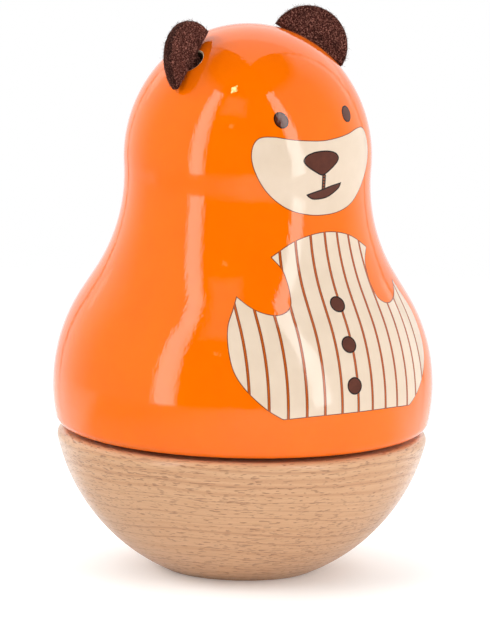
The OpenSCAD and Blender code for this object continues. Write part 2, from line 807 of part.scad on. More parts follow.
module drum() {
    web = 2 * plate_t;
    color("gold") along_x(drum_x, 0, drum_z) rotate_extrude() difference() {
        translate([drum_shaft_r + seat, 0]) square([drum_r - drum_shaft_r - seat, drum_len]);
        translate([0, -past]) square([drum_r - drum_wall, drum_len / 2 - web / 2 + past]);
        translate([0, drum_len / 2 + web / 2]) square([drum_r - drum_wall, drum_len / 2]);
    }
}

// Each note's pins follow a steady spread round the drum, shifted from note to note
module drum_pins() {
    root = drum_r - drum_wall / 2;
    note_turn = 137.5;
    beat_shift = 11;
    color("silver") for (i = [0 : notes - 1], k = [0 : pins_per_track - 1])
        along_x(drum_x + (i + 0.5) * note_pitch, 0, drum_z)
            rotate(note_turn * i + 360 * k / pins_per_track + beat_shift * k * (i % 3))
                translate([root, 0, 0]) rotate([0, 90, 0]) cylinder(r = pin_r, h = drum_r + pin_h - root);
}

module drum_pinion() {
    color("gold") along_x(wheel_r - pinion_face / 2, 0, drum_z)
        spur(drum_pinion_teeth, drive_m, pinion_face, drum_shaft_r + seat, 270 - 180 / drum_pinion_teeth);
}

module drum_gear() {
    color("gold") along_x(drum_gear_x, 0, drum_z)
        spur(drum_gear_teeth, gov_m, gear_t, drum_shaft_r + seat, 0);
}

// Second arbor, between the drum and the worm

module second_arbor() {
    color("silver") along_x(inner_plate_x, second_y, drum_z)
        cylinder(r = fine_shaft_r, h = outer_plate_end - inner_plate_x);
}

module second_pinion() {
    color("silver") along_x(drum_gear_x, second_y, drum_z)
        spur(second_pinion_teeth, gov_m, gear_t, fine_shaft_r + seat, 180 - 180 / second_pinion_teeth);
}

module worm_wheel() {
    color("ivory") along_x(worm_x - gear_t / 2, second_y, drum_z)
        spur(worm_wheel_teeth, gov_m, gear_t, fine_shaft_r + seat, 0);
}

// Fly, whose wings brake the train

module fly_arbor() {
    color("silver") translate([worm_x, worm_y, bed_top + glide_gap])
        cylinder(r = fine_shaft_r, h = fly_top - bed_top);
}

// Right-hand thread: its section at one level, turned steadily with height
module worm() {
    sides = 18;
    bore_sides = 8;
    function thread_r(away) =
        let (axial = worm_lead * away / 360)
        let (flank = (worm_lead / 4 - backlash / 2 - axial) / tan(pressure))
        worm_r + max(-1.25 * gov_m, min(gov_m, flank));
    section = [for (i = [0 : sides - 1])
        let (a = 360 * i / sides)
        polar(thread_r(min(a, 360 - a)), a)];
    color("silver") translate([worm_x, worm_y, drum_z - worm_len / 2])
        linear_extrude(worm_len, twist = -360 * worm_turns, slices = 10 * worm_turns, segments = sides)
            rotate(90 - 180 * worm_turns) difference() {
                polygon(section);
                circle((fine_shaft_r + run) / cos(180 / bore_sides), $fn = bore_sides);
            }
}

module fly() {
    wing_t = 0.8;
    hub = fine_shaft_r + wing_t;
    color("ivory") translate([worm_x, worm_y, fly_z]) difference() {
        union() {
            cylinder(r = hub, h = fly_h);
            translate([-fly_r, -wing_t / 2, 0]) cube([2 * fly_r, wing_t, fly_h]);
        }
        translate([0, 0, -past]) cylinder(r = fine_shaft_r + seat, h = fly_h + 2 * past);
    }
}

base_bowl();
threaded_insert();
glide_ring();
winding_arbor();
drive_wheel();
ratchet_wheel();
click();
click_spring();
click_rivets();
body_shell();
ear_left();
ear_right();
floor_disc();
floor_screws();
bedplate();
bedplate_screws();
spring_barrel();
mainspring();
pillars();
bridge();
bridge_screws();
comb();
comb_screws();
drum_bracket();
bracket_screw();
governor_frame();
governor_screws();
worm_cock();
cock_screw();
drum_shaft();
drum();
drum_pins();
drum_pinion();
drum_gear();
second_arbor();
second_pinion();
worm_wheel();
fly_arbor();
worm();
fly();
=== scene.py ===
import json
import random
from math import acos, asin, atan2, ceil, cos, degrees, hypot, pi, radians, sin, sqrt, tan

import bpy
import numpy as np
from mathutils import Matrix, Vector, noise
from mathutils.geometry import delaunay_2d_cdt


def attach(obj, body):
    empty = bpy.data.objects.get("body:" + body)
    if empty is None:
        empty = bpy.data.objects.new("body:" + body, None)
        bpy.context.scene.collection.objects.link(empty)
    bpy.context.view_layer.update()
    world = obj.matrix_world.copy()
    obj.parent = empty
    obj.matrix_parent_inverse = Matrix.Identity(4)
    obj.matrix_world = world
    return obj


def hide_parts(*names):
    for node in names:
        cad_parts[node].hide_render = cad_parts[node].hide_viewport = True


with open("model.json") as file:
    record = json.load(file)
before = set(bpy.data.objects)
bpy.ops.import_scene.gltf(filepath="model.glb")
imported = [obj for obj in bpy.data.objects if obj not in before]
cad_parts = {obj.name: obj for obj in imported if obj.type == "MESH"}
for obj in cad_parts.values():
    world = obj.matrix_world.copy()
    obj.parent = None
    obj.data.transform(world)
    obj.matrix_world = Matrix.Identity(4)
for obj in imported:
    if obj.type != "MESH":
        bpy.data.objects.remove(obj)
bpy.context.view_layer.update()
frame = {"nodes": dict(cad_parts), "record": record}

# Lengths are millimetres except where a comment says metres; MM turns them into the scene's metres
MM = 0.001
SEED = 7

# Turned outline of the body, with the values of the part's source
BODY_BOTTOM = 38.1
HEM_ROUND = 3.0
HEM_X = 46.41
BELLY = Vector((5.0, 49.2))
BELLY_R = 45.2
BELLY_END = radians(32.2)
SLOPE_LEN = 6.5
NECK_R = 47.5
NECK_END = radians(4.1)
CHEEK_R = 37.1
CHEEK_END = radians(38)
BORE_R = 18.0
BORE_TOP = 112.0
CHAMBER_R = 37.805
CHAMBER_TOP = 65.625
MOUTH_R = 42.975
FLOOR_SEAT = 44.1

# Base, a ball cut flat at foot and top
BALL_R = 50.0
BALL_Z = 46.0
BASE_TOP = 37.1
RIM_ROUND = 2.0
RIM_X = 46.74
INSERT_R = 4.52
INSERT_LEN = 14.0

# Felt ears and the holes that take their tabs
EAR_R = 10.4
EAR_T = 2.5
EAR_SINK = 0.2
TAB_HALF = 2.5
TAB_LEN = 8.4
HOLE_R = 3.5
HOLE_DEPTH = 9.0
HOLE_EDGE = 0.42
LEFT_TILT = radians(38)
LEFT_TURN = radians(-30)
RIGHT_TILT = radians(-41)
RIGHT_TURN = radians(16)
RIGHT_FORWARD = radians(4)

# Fineness of the turned meshes
TURN_SEGMENTS = 192
HOLE_SEGMENTS = 64
RING_STEP = 1.2
STRAIGHT_STEP = 4 * RING_STEP
ROUND_STEPS = 6
HOLE_EDGE_STEPS = 4

# Lengths below TINY count as nothing, and points within WELD count as one
TINY = 1e-6
WELD = 1e-5


def heading(angle):
    """The direction at an angle in the outline's plane."""
    return Vector((cos(angle), sin(angle)))


HEM = Vector((HEM_X, BODY_BOTTOM + HEM_ROUND))
HEM_END = atan2(HEM.y - BELLY.y, HEM.x - BELLY.x)
hem_p = HEM + HEM_ROUND * heading(HEM_END)
belly_p = BELLY + BELLY_R * heading(BELLY_END)
slope_p = belly_p + SLOPE_LEN * heading(BELLY_END + pi / 2)
NECK = slope_p + NECK_R * heading(BELLY_END)
neck_p = NECK - NECK_R * heading(-NECK_END)
CHEEK = neck_p - CHEEK_R * heading(-NECK_END)
cheek_p = CHEEK + CHEEK_R * heading(CHEEK_END)
CROWN_R = cheek_p.x / cos(CHEEK_END)
CROWN = Vector((0.0, cheek_p.y - cheek_p.x * tan(CHEEK_END)))


def skin(z):
    """Radius of the body's outside at a height, and the outward normal's radial and upward parts."""
    if z < hem_p.y:
        up = max((z - HEM.y) / HEM_ROUND, -1.0)
        out = sqrt(1 - up * up)
        return HEM.x + HEM_ROUND * out, out, up
    if z < belly_p.y:
        up = (z - BELLY.y) / BELLY_R
        out = sqrt(1 - up * up)
        return BELLY.x + BELLY_R * out, out, up
    if z < slope_p.y:
        return belly_p.x - (z - belly_p.y) * tan(BELLY_END), cos(BELLY_END), sin(BELLY_END)
    if z < neck_p.y:
        up = (NECK.y - z) / NECK_R
        out = sqrt(1 - up * up)
        return NECK.x - NECK_R * out, out, up
    if z < cheek_p.y:
        up = (z - CHEEK.y) / CHEEK_R
        out = sqrt(1 - up * up)
        return CHEEK.x + CHEEK_R * out, out, up
    up = min((z - CROWN.y) / CROWN_R, 1.0)
    out = sqrt(1 - up * up)
    return CROWN_R * out, out, up


# Turned meshes: stretches of outline are spun about Z, with the solid on the left of the way they run

def arc(centre, r, start, end, step=RING_STEP):
    """Points on an arc and their outward normals; a negative radius gives a hollow."""
    steps = max(2, ceil(abs(r * (end - start)) / step))
    angles = [start + (end - start) * i / steps for i in range(steps + 1)]
    return [centre + r * heading(a) for a in angles], [heading(a) for a in angles]


def straight(start, end):
    """A straight run of outline and its normal, on the right of its way."""
    start = Vector(start)
    end = Vector(end)
    way = (end - start).normalized()
    normal = Vector((way.y, -way.x))
    steps = max(1, ceil((end - start).length / STRAIGHT_STEP))
    points = [start.lerp(end, i / steps) for i in range(steps + 1)]
    return points, [normal] * len(points)


def lathe(name, stretches, segments, materials):
    """A turned mesh. Each stretch is (points, normals, material); its own normals keep corners crisp."""
    turns = [2 * pi * j / segments for j in range(segments)]
    verts = []
    faces = []
    tints = []
    normals = []

    def ring(point):
        """One ring of vertices, or a single vertex on the axis."""
        first = len(verts)
        if point.x < TINY:
            verts.append((0.0, 0.0, point.y * MM))
            return [first] * segments
        verts.extend((point.x * MM * cos(t), point.x * MM * sin(t), point.y * MM) for t in turns)
        return list(range(first, first + segments))

    last = None
    for points, slopes, tint in stretches:
        rings = [last or ring(points[0])] + [ring(p) for p in points[1:]]
        last = rings[-1]
        for low, high, low_n, high_n in zip(rings, rings[1:], slopes, slopes[1:]):
            for j in range(segments):
                k = (j + 1) % segments
                corners = [(low[j], low_n, j), (low[k], low_n, k), (high[k], high_n, k), (high[j], high_n, j)]
                if low[j] == low[k]:
                    corners.pop(1)
                elif high[j] == high[k]:
                    corners.pop(2)
                faces.append([c[0] for c in corners])
                tints.append(tint)
                normals.extend((n.x * cos(turns[i]), n.x * sin(turns[i]), n.y) for _, n, i in corners)
    mesh = bpy.data.meshes.new(name)
    mesh.from_pydata(verts, [], faces)
    mesh.polygons.foreach_set("material_index", tints)
    mesh.shade_smooth()
    mesh.normals_split_custom_set(normals)
    return placed(name, mesh, materials)


def placed(name, mesh, materials):
    """A new object in the scene with these materials."""
    mesh.update()
    made = bpy.data.objects.new(name, mesh)
    bpy.context.scene.collection.objects.link(made)
    for material in materials:
        mesh.materials.append(material)
    return made


def piece(made, body, slot, *nodes):
    """Puts a piece on the body that it rides on and hides the CAD nodes that it stands for; slot is not used.
    """
    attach(made, body)
    if nodes:
        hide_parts(*nodes)
    return made


# Materials

def srgb(red, green, blue):
    """A colour written as it looks, 0 to 255, as the linear values that shaders take."""
    values = [v / 255 for v in (red, green, blue)]
    linear = [v / 12.92 if v <= 0.04045 else ((v + 0.055) / 1.055) ** 2.4 for v in values]
    return (*linear, 1.0)


def new_material(name, **sockets):
    """A material with its shader's plain values set; returns it with its tree and shader."""
    material = bpy.data.materials.new(name)
    material.use_nodes = True
    tree = material.node_tree
    shader = tree.nodes["Principled BSDF"]
    for key, value in sockets.items():
        shader.inputs[key.replace("_", " ")].default_value = value
    return material, tree, shader


def node(tree, kind, inputs=(), **settings):
    """A shader node with its settings and inputs; an input is a plain value or another node's socket."""
    made = tree.nodes.new("ShaderNode" + kind)
    for key, value in settings.items():
        setattr(made, key, value)
    for key, value in dict(inputs).items():
        if isinstance(value, bpy.types.NodeSocket):
            tree.links.new(value, made.inputs[key])
        else:
            made.inputs[key].default_value = value
    return made


def object_coords(tree, turn=0.0, scale=(1, 1, 1)):
    """The piece's own coordinates in metres, turned about Z and then scaled."""
    coords = node(tree, "TexCoord").outputs["Object"]
    turned = node(tree, "Mapping", {"Vector": coords, "Rotation": (0, 0, turn)})
    return node(tree, "Mapping", {"Vector": turned.outputs[0], "Scale": scale}).outputs[0]


def speckle(tree, coords, scale, detail=2.0, rough=0.5):
    """Noise from 0 to 1."""
    made = node(tree, "TexNoise", {"Vector": coords, "Scale": scale, "Detail": detail, "Roughness": rough})
    return made.outputs["Fac"]


def ramp(tree, factor, *stops):
    """A colour ramp through (place, colour) stops."""
    made = node(tree, "ValToRGB", {"Fac": factor})
    marks = made.color_ramp.elements
    while len(marks) < len(stops):
        marks.new(0.5)
    for mark, (place, colour) in zip(marks, stops):
        mark.position = place
        mark.color = colour
    return made.outputs["Color"]


def graded(tree, factor, low, high, start=0.0, end=1.0):
    """A value that goes from start to end as the factor goes from low to high."""
    spans = {"From Min": low, "From Max": high, "To Min": start, "To Max": end}
    return node(tree, "MapRange", {"Value": factor, **spans}).outputs["Result"]


def blend(tree, factor, first, second):
    """A mix of two colours."""
    return node(tree, "Mix", {0: factor, 6: first, 7: second}, data_type="RGBA").outputs[2]


def reckon(tree, operation, *values):
    """The result of one piece of arithmetic on values or sockets."""
    return node(tree, "Math", dict(enumerate(values)), operation=operation).outputs[0]


def reach_along(tree, vector, way):
    """How far a vector reaches along a direction."""
    return node(tree, "VectorMath", {0: vector, 1: way}, operation="DOT_PRODUCT").outputs["Value"]


def relief(tree, height, distance, over=None):
    """A bump from a height, on top of another bump if one is given; distance is in metres."""
    inputs = {"Height": height, "Distance": distance}
    if over is not None:
        inputs["Normal"] = over
    return node(tree, "Bump", inputs).outputs["Normal"]


# Stretches of noise values, most of which lie between 0.3 and 0.7
FULL_NOISE = (0.3, 0.7)
MID_NOISE = (0.35, 0.65)
HIGH_NOISE = (0.4, 0.7)

# Lacquer: the coat's ripple, and the wood's upright grain that shows in it. Depths are metres.
COAT_PEEL = 260.0
COAT_PEEL_DEPTH = 0.00003
COAT_GRAIN = (1500, 1500, 500)
COAT_GRAIN_DEPTH = 0.000015


def under_gloss(name, dark, light, patches):
    """Paint or ink under clear gloss lacquer, uneven in tone, with the wood's grain in its surface."""
    material, tree, shader = new_material(
        name, Roughness=0.5, Coat_Weight=1.0, Coat_Roughness=0.03, Coat_IOR=1.5, Specular_IOR_Level=0.0)
    coords = object_coords(tree)
    tone = graded(tree, speckle(tree, coords, patches, 4.0, 0.6), *FULL_NOISE)
    tree.links.new(blend(tree, tone, dark, light), shader.inputs["Base Color"])
    peel = relief(tree, speckle(tree, coords, COAT_PEEL, 1.5, 0.4), COAT_PEEL_DEPTH)
    grain = speckle(tree, object_coords(tree, 0.0, COAT_GRAIN), 1.0, 0.0)
    tree.links.new(relief(tree, grain, COAT_GRAIN_DEPTH, over=peel), shader.inputs["Coat Normal"])
    tree.links.new(peel, shader.inputs["Normal"])
    return material


orange = under_gloss("orange_lacquer", (0.98, 0.158, 0.0, 1), (1.0, 0.174, 0.0, 1), 70.0)
cream = under_gloss("cream_ink", srgb(226, 205, 182), srgb(232, 212, 190), 120.0)
brown = under_gloss("brown_ink", srgb(82, 38, 24), srgb(96, 47, 31), 400.0)
line_brown = under_gloss("outline_ink", srgb(130, 66, 36), srgb(146, 76, 42), 500.0)
stripe_brown = under_gloss("stripe_ink", srgb(182, 82, 24), srgb(196, 92, 32), 300.0)
dark_line = under_gloss("dark_outline_ink", srgb(26, 12, 9), srgb(36, 18, 14), 500.0)


# Wood. Pitches, sways and depths are metres, and threes are scales along the fibres, across them and upwards.
FIBRE_TURN = radians(40)
GROWTH_PITCH = 0.0023
GROWTH_TILT = 0.07
GROWTH_SWAY = 0.009
SWAY_SCALE = (10, 22, 22)
LAYER_SCALE = 420.0
LATE_SHARE = 0.13
LATE_DARKNESS = 0.42
FIBRE_SCALE = (70, 110, 2300)
FIBRE_DEPTH = 0.000018
PATCH_SCALE = (22, 22, 60)
PATCH_LIFT = 0.06
FLECK_SCALE = (430, 600, 3900)
FLECK_EDGE = (0.64, 0.72)
FLECK_DARKNESS = 0.5
FLECK_DEPTH = 0.00012


def along_fibres(tree, scale, detail, rough=0.5):
    """Noise that is drawn out along the wood's fibres."""
    return speckle(tree, object_coords(tree, FIBRE_TURN, scale), 1.0, detail, rough)


def wood(name, pale, mid, dark, satin, wax=0.0):
    """Turned hardwood: level growth layers and lines, fine fibres, and short dark flecks along the fibres."""
    material, tree, shader = new_material(
        name, Specular_IOR_Level=0.4, Coat_Weight=wax, Coat_Roughness=0.16)
    place = node(tree, "SeparateXYZ", {"Vector": object_coords(tree, FIBRE_TURN)}).outputs
    level = reckon(tree, "MULTIPLY_ADD", place["Y"], GROWTH_TILT, place["Z"])
    bent = reckon(tree, "MULTIPLY_ADD", along_fibres(tree, SWAY_SCALE, 2.0), GROWTH_SWAY, level)
    layers = node(tree, "TexNoise", {"W": bent, "Scale": LAYER_SCALE, "Detail": 3.0, "Roughness": 0.65},
                  noise_dimensions="1D").outputs["Fac"]
    tone = ramp(tree, layers, (0.3, mid), (0.46, pale), (0.56, pale), (0.72, mid))
    fibres = along_fibres(tree, FIBRE_SCALE, 4.0, 0.65)
    grained = blend(tree, graded(tree, fibres, *HIGH_NOISE, 0.0, 0.7), tone, mid)
    season = reckon(tree, "FRACT", reckon(tree, "DIVIDE", bent, GROWTH_PITCH))
    late = graded(tree, season, 0.0, LATE_SHARE, LATE_DARKNESS, 0.0)
    lines = reckon(tree, "MULTIPLY", late, graded(tree, layers, 0.35, 0.6, 0.25, 1.0))
    lined = blend(tree, lines, grained, dark)
    patchy = graded(tree, along_fibres(tree, PATCH_SCALE, 2.0), *MID_NOISE)
    raised = reckon(tree, "MULTIPLY_ADD", patchy, PATCH_LIFT, along_fibres(tree, FLECK_SCALE, 1.0, 0.4))
    flecks = graded(tree, raised, *FLECK_EDGE)
    flecked = blend(tree, reckon(tree, "MULTIPLY", flecks, FLECK_DARKNESS), lined, dark)
    tree.links.new(flecked, shader.inputs["Base Color"])
    roughness = graded(tree, fibres, *FULL_NOISE, satin - 0.05, satin + 0.1)
    tree.links.new(roughness, shader.inputs["Roughness"])
    pits = reckon(tree, "SUBTRACT", 1.0, flecks)
    surface = relief(tree, pits, FLECK_DEPTH, over=relief(tree, fibres, FIBRE_DEPTH))
    tree.links.new(surface, shader.inputs["Normal"])
    tree.links.new(surface, shader.inputs["Coat Normal"])
    return material


beech = wood("beech", srgb(219, 173, 132), srgb(207, 157, 116), srgb(142, 88, 56), satin=0.36, wax=0.6)
bare_beech = wood("bare_beech", srgb(226, 190, 152), srgb(210, 168, 126), srgb(150, 108, 76), satin=0.6)
# The ear holes' rounded edges: bare beech, painted paler than bare wood as the highlight that the edge
# catches
hole_lip_with_painted_highlight = wood("hole_lip_with_painted_highlight", srgb(255, 238, 208), srgb(250, 226, 190), srgb(220, 182, 142), satin=0.5)
# The ear holes' walls: beech painted near-black as the shade deep inside the holes
hole_wall_painted_shade = wood("hole_wall_painted_shade", srgb(74, 50, 36), srgb(58, 38, 27), srgb(36, 23, 16), satin=0.8)

# Finishes of the movement inside, and felt. Depths are metres.
PLY_SCALE = 190.0
PLY_TURN = 0.3
PLY_FIBRE_SCALE = (60, 1800, 1800)
PLY_FIBRE_DEPTH = 0.00004
TOOL_MARK_DEPTH = 0.000008
STAIN_SCALE = 160.0
NYLON_CLOUD_SCALE = 220.0
NYLON_GRAIN_SCALE = 2500.0
NYLON_GRAIN_DEPTH = 0.000006
FELT_MAT_SCALE = 2300.0
FELT_CLOUD_SCALE = 350.0
FELT_MAT_DEPTH = 0.0004


def plywood_material():
    """Birch plywood: level plies on its edge and long fibres on its faces."""
    material, tree, shader = new_material("plywood", Specular_IOR_Level=0.3)
    height = node(tree, "SeparateXYZ", {"Vector": object_coords(tree)}).outputs["Z"]
    upwards_only = node(tree, "CombineXYZ", {"X": height}).outputs[0]
    plies = node(tree, "TexWave", {"Vector": upwards_only, "Scale": PLY_SCALE, "Distortion": 0.4})
    tone = ramp(tree, plies.outputs["Fac"], (0.35, srgb(196, 158, 110)), (0.6, srgb(224, 192, 146)))
    fibres = speckle(tree, object_coords(tree, PLY_TURN, PLY_FIBRE_SCALE), 1.0, 3.0)
    grained = blend(tree, graded(tree, fibres, *HIGH_NOISE, 0.0, 0.5), tone, srgb(184, 144, 98))
    tree.links.new(grained, shader.inputs["Base Color"])
    tree.links.new(graded(tree, fibres, *FULL_NOISE, 0.55, 0.75), shader.inputs["Roughness"])
    tree.links.new(relief(tree, fibres, PLY_FIBRE_DEPTH), shader.inputs["Normal"])
    return material


def metal(name, dark, light, rough, grain, stretch=(1, 1, 1)):
    """A metal with tool marks: tone, roughness and relief follow one stretched noise."""
    material, tree, shader = new_material(name, Metallic=1.0)
    marks = speckle(tree, object_coords(tree, 0.0, stretch), grain, 4.0, 0.6)
    stains = speckle(tree, object_coords(tree), STAIN_SCALE, 3.0)
    tone = blend(tree, graded(tree, marks, *MID_NOISE), dark, light)
    stained = blend(tree, graded(tree, stains, 0.45, 0.75, 0.0, 0.35), tone, dark)
    tree.links.new(stained, shader.inputs["Base Color"])
    roughness = graded(tree, marks, *FULL_NOISE, rough - 0.07, rough + 0.1)
    tree.links.new(roughness, shader.inputs["Roughness"])
    tree.links.new(relief(tree, marks, TOOL_MARK_DEPTH), shader.inputs["Normal"])
    return material


def nylon_material():
    """Moulded nylon: off-white, faintly see-through and finely textured."""
    material, tree, shader = new_material("nylon", Subsurface_Weight=0.15, Subsurface_Scale=0.002)
    coords = object_coords(tree)
    cloud = speckle(tree, coords, NYLON_CLOUD_SCALE, 3.0)
    tree.links.new(blend(tree, cloud, srgb(228, 225, 214), srgb(240, 238, 230)), shader.inputs["Base Color"])
    tree.links.new(graded(tree, cloud, *FULL_NOISE, 0.34, 0.48), shader.inputs["Roughness"])
    grain = speckle(tree, coords, NYLON_GRAIN_SCALE)
    tree.links.new(relief(tree, grain, NYLON_GRAIN_DEPTH), shader.inputs["Normal"])
    return material


def felt_material(name, deep, mid, tips_and_glints):
    """Thick wool felt: matted dark fibres with paler ends, whose paleness is partly painted glints of light
    on the fibres.
    """
    material, tree, shader = new_material(
        name, Roughness=0.95, Sheen_Weight=0.2, Sheen_Roughness=0.5, Sheen_Tint=srgb(214, 138, 116),
        Specular_IOR_Level=0.1)
    coords = object_coords(tree)
    mat = speckle(tree, coords, FELT_MAT_SCALE, 5.0, 0.8)
    cloud = speckle(tree, coords, FELT_CLOUD_SCALE, 3.0)
    tone = ramp(tree, mat, (0.38, deep), (0.52, mid), (0.64, tips_and_glints))
    clouded = blend(tree, graded(tree, cloud, *MID_NOISE, 0.0, 0.3), tone, deep)
    tree.links.new(clouded, shader.inputs["Base Color"])
    tree.links.new(relief(tree, mat, FELT_MAT_DEPTH), shader.inputs["Normal"])
    return material


felt = felt_material("felt", srgb(20, 8, 6), srgb(70, 34, 29), srgb(226, 154, 136))
# The cut edge: felt painted darker than the faces, as the shade that falls on the edge
felt_edge_painted_shade = felt_material("felt_cut_edge_painted_shade", srgb(18, 8, 7), srgb(50, 26, 22), srgb(112, 72, 62))
felt_fibre = felt_material("felt_fibres", srgb(60, 30, 25), srgb(126, 72, 62), srgb(206, 152, 136))
finishes = {
    "plywood": plywood_material(),
    "zinc_casting": metal("zinc_casting", srgb(150, 151, 153), srgb(178, 179, 181), rough=0.45, grain=900.0),
    "brass": metal("brass", srgb(196, 156, 82), srgb(226, 190, 112), rough=0.26, grain=1.0,
                   stretch=(2600, 500, 500)),
    "steel": metal("steel", srgb(160, 163, 168), srgb(196, 198, 202), rough=0.24, grain=1.0,
                   stretch=(700, 700, 3000)),
    "nylon": nylon_material(),
}
for part in frame["record"]["subparts"]:
    finish = finishes.get(part["material_slot"])
    if finish:
        mesh = frame["nodes"][part["node"]].data
        mesh.materials.clear()
        mesh.materials.append(finish)


# The orange body, with its ear holes cut

def ear_place(tilt, turn, forward=0.0):
    """The ear's own frame: chord along X, outwards along Z, middle of the chord at the origin."""
    crown = Matrix.Translation((0, 0, CROWN.y * MM))
    leant = crown @ Matrix.Rotation(forward, 4, "Z") @ Matrix.Rotation(tilt, 4, "Y")
    return leant @ Matrix.Translation((0, 0, (CROWN_R - EAR_SINK) * MM)) @ Matrix.Rotation(turn, 4, "Z")


LEFT_EAR = ear_place(LEFT_TILT, LEFT_TURN)
RIGHT_EAR = ear_place(RIGHT_TILT, RIGHT_TURN, RIGHT_FORWARD)

# Places of the body's materials in BODY_COATS
LACQUERED = 0
BARE = 1
# LIP is the holes' rounded edges, bare wood painted pale as a highlight
LIP = 2
# WALL is the holes' walls, painted dark as shade
WALL = 3
BODY_COATS = [orange, bare_beech, hole_lip_with_painted_highlight, hole_wall_painted_shade]

# A face whose normal points down more than this is the level underside of the hem
LEVEL_UNDERSIDE = -0.98


def body_outline():
    """The body's outline from the end of the sound bore round to the top of the crown."""
    corners = [(0, BORE_TOP), (BORE_R, BORE_TOP), (BORE_R, CHAMBER_TOP), (CHAMBER_R, CHAMBER_TOP),
               (CHAMBER_R, FLOOR_SEAT), (MOUTH_R, FLOOR_SEAT), (MOUTH_R, BODY_BOTTOM)]
    stretches = [(*straight(a, b), BARE) for a, b in zip(corners, corners[1:])]
    stretches.append((*straight(corners[-1], (HEM_X, BODY_BOTTOM)), LACQUERED))
    stretches.append((*arc(HEM, HEM_ROUND, -pi / 2, HEM_END, HEM_ROUND / ROUND_STEPS), LACQUERED))
    stretches.append((*arc(BELLY, BELLY_R, HEM_END, BELLY_END), LACQUERED))
    stretches.append((*straight(belly_p, slope_p), LACQUERED))
    stretches.append((*arc(NECK, -NECK_R, BELLY_END, -NECK_END), LACQUERED))
    stretches.append((*arc(CHEEK, CHEEK_R, -NECK_END, CHEEK_END), LACQUERED))
    stretches.append((*arc(CROWN, CROWN_R, CHEEK_END, pi / 2), LACQUERED))
    return stretches


def hole_cutter(name, place):
    """The drill and its rounded edge, past the surface, as a solid to cut with."""
    past = 2.0
    top = EAR_SINK + past
    edge_r = HOLE_R + HOLE_EDGE
    crown_drop = CROWN_R - sqrt(CROWN_R ** 2 - edge_r ** 2)
    edge_top = EAR_SINK - crown_drop
    neck = edge_top - HOLE_EDGE
    bottom = EAR_SINK - HOLE_DEPTH
    stretches = [
        (*straight((0, bottom), (HOLE_R, bottom)), WALL),
        (*straight((HOLE_R, bottom), (HOLE_R, neck)), WALL),
        (*arc(Vector((edge_r, neck)), HOLE_EDGE, pi, pi / 2, HOLE_EDGE / HOLE_EDGE_STEPS), LIP),
        (*straight((edge_r, edge_top), (edge_r + past, top)), LIP),
        (*straight((edge_r + past, top), (0, top)), LIP),
    ]
    cutter = lathe(name, stretches, HOLE_SEGMENTS, BODY_COATS)
    cutter.data.transform(place)
    return cutter


def cut(target, cutters):
    """Cuts solids out of a mesh for good."""
    for cutter in cutters:
        step = target.modifiers.new("cut", "BOOLEAN")
        step.operation = "DIFFERENCE"
        step.solver = "EXACT"
        step.object = cutter
    shown = target.evaluated_get(bpy.context.evaluated_depsgraph_get())
    mesh = bpy.data.meshes.new_from_object(shown)
    target.modifiers.clear()
    target.data = mesh
    for cutter in cutters:
        bpy.data.objects.remove(cutter)


def skin_normal(point):
    """The outward normal of the turned skin at a point."""
    _, out, up = skin(point.z / MM)
    away = hypot(point.x, point.y)
    if away < TINY * MM:
        return (0.0, 0.0, 1.0)
    return (out * point.x / away, out * point.y / away, up)


def shade_body(mesh):
    """Gives lacquered faces the turned skin's own normals and leaves the others flat."""
    normals = []
    for face in mesh.polygons:
        turned = face.material_index == LACQUERED and face.normal.z > LEVEL_UNDERSIDE
        for index in face.vertices:
            normals.append(skin_normal(mesh.vertices[index].co) if turned else tuple(face.normal))
    mesh.shade_smooth()
    mesh.normals_split_custom_set(normals)


body = lathe("bear_body", body_outline(), TURN_SEGMENTS, BODY_COATS)
cut(body, [hole_cutter("left_drill", LEFT_EAR), hole_cutter("right_drill", RIGHT_EAR)])
shade_body(body.data)
piece(body, "upper", "orange_lacquer", "body_shell")


# The beech base

def base_outline():
    """The base's outline from the foot round the ball and the rim to the bottom of the insert's hole."""
    foot_r = sqrt(BALL_R ** 2 - BALL_Z ** 2)
    ball = Vector((0.0, BALL_Z))
    side = RIM_X + RIM_ROUND
    ball_end = -acos(side / BALL_R)
    band_low = BALL_Z + BALL_R * sin(ball_end)
    rim = Vector((RIM_X, BASE_TOP - RIM_ROUND))
    return [
        (*straight((0, 0), (foot_r, 0)), 0),
        (*arc(ball, BALL_R, -asin(BALL_Z / BALL_R), ball_end), 0),
        (*straight((side, band_low), (side, rim.y)), 0),
        (*arc(rim, RIM_ROUND, 0.0, pi / 2, RIM_ROUND / ROUND_STEPS), 0),
        (*straight((RIM_X, BASE_TOP), (INSERT_R, BASE_TOP)), 0),
        (*straight((INSERT_R, BASE_TOP), (INSERT_R, BASE_TOP - INSERT_LEN)), 0),
        (*straight((INSERT_R, BASE_TOP - INSERT_LEN), (0, BASE_TOP - INSERT_LEN)), 0),
    ]


bowl = lathe("beech_base", base_outline(), TURN_SEGMENTS, [beech])
piece(bowl, "base", "beech", "base_bowl")


# Printed face, bib and buttons. Outlines are (x, z): arc length from the front meridian, and height.
# A third value marks a corner; the curve is smooth through the other points.

LINE_STEP = 0.4
PRINT_GRID = 1.2
FINE_GRID = 0.8
STITCH_GRID = 0.15
INSET_KEPT = 0.96
GRID_CLEAR = 0.45
INK_EDGE = 0.24
BOLD_EDGE = 0.34
BIB_LIFT = 0.04
FACE_LIFT = 0.04
TOP_LIFT = 0.08
CORNER = True

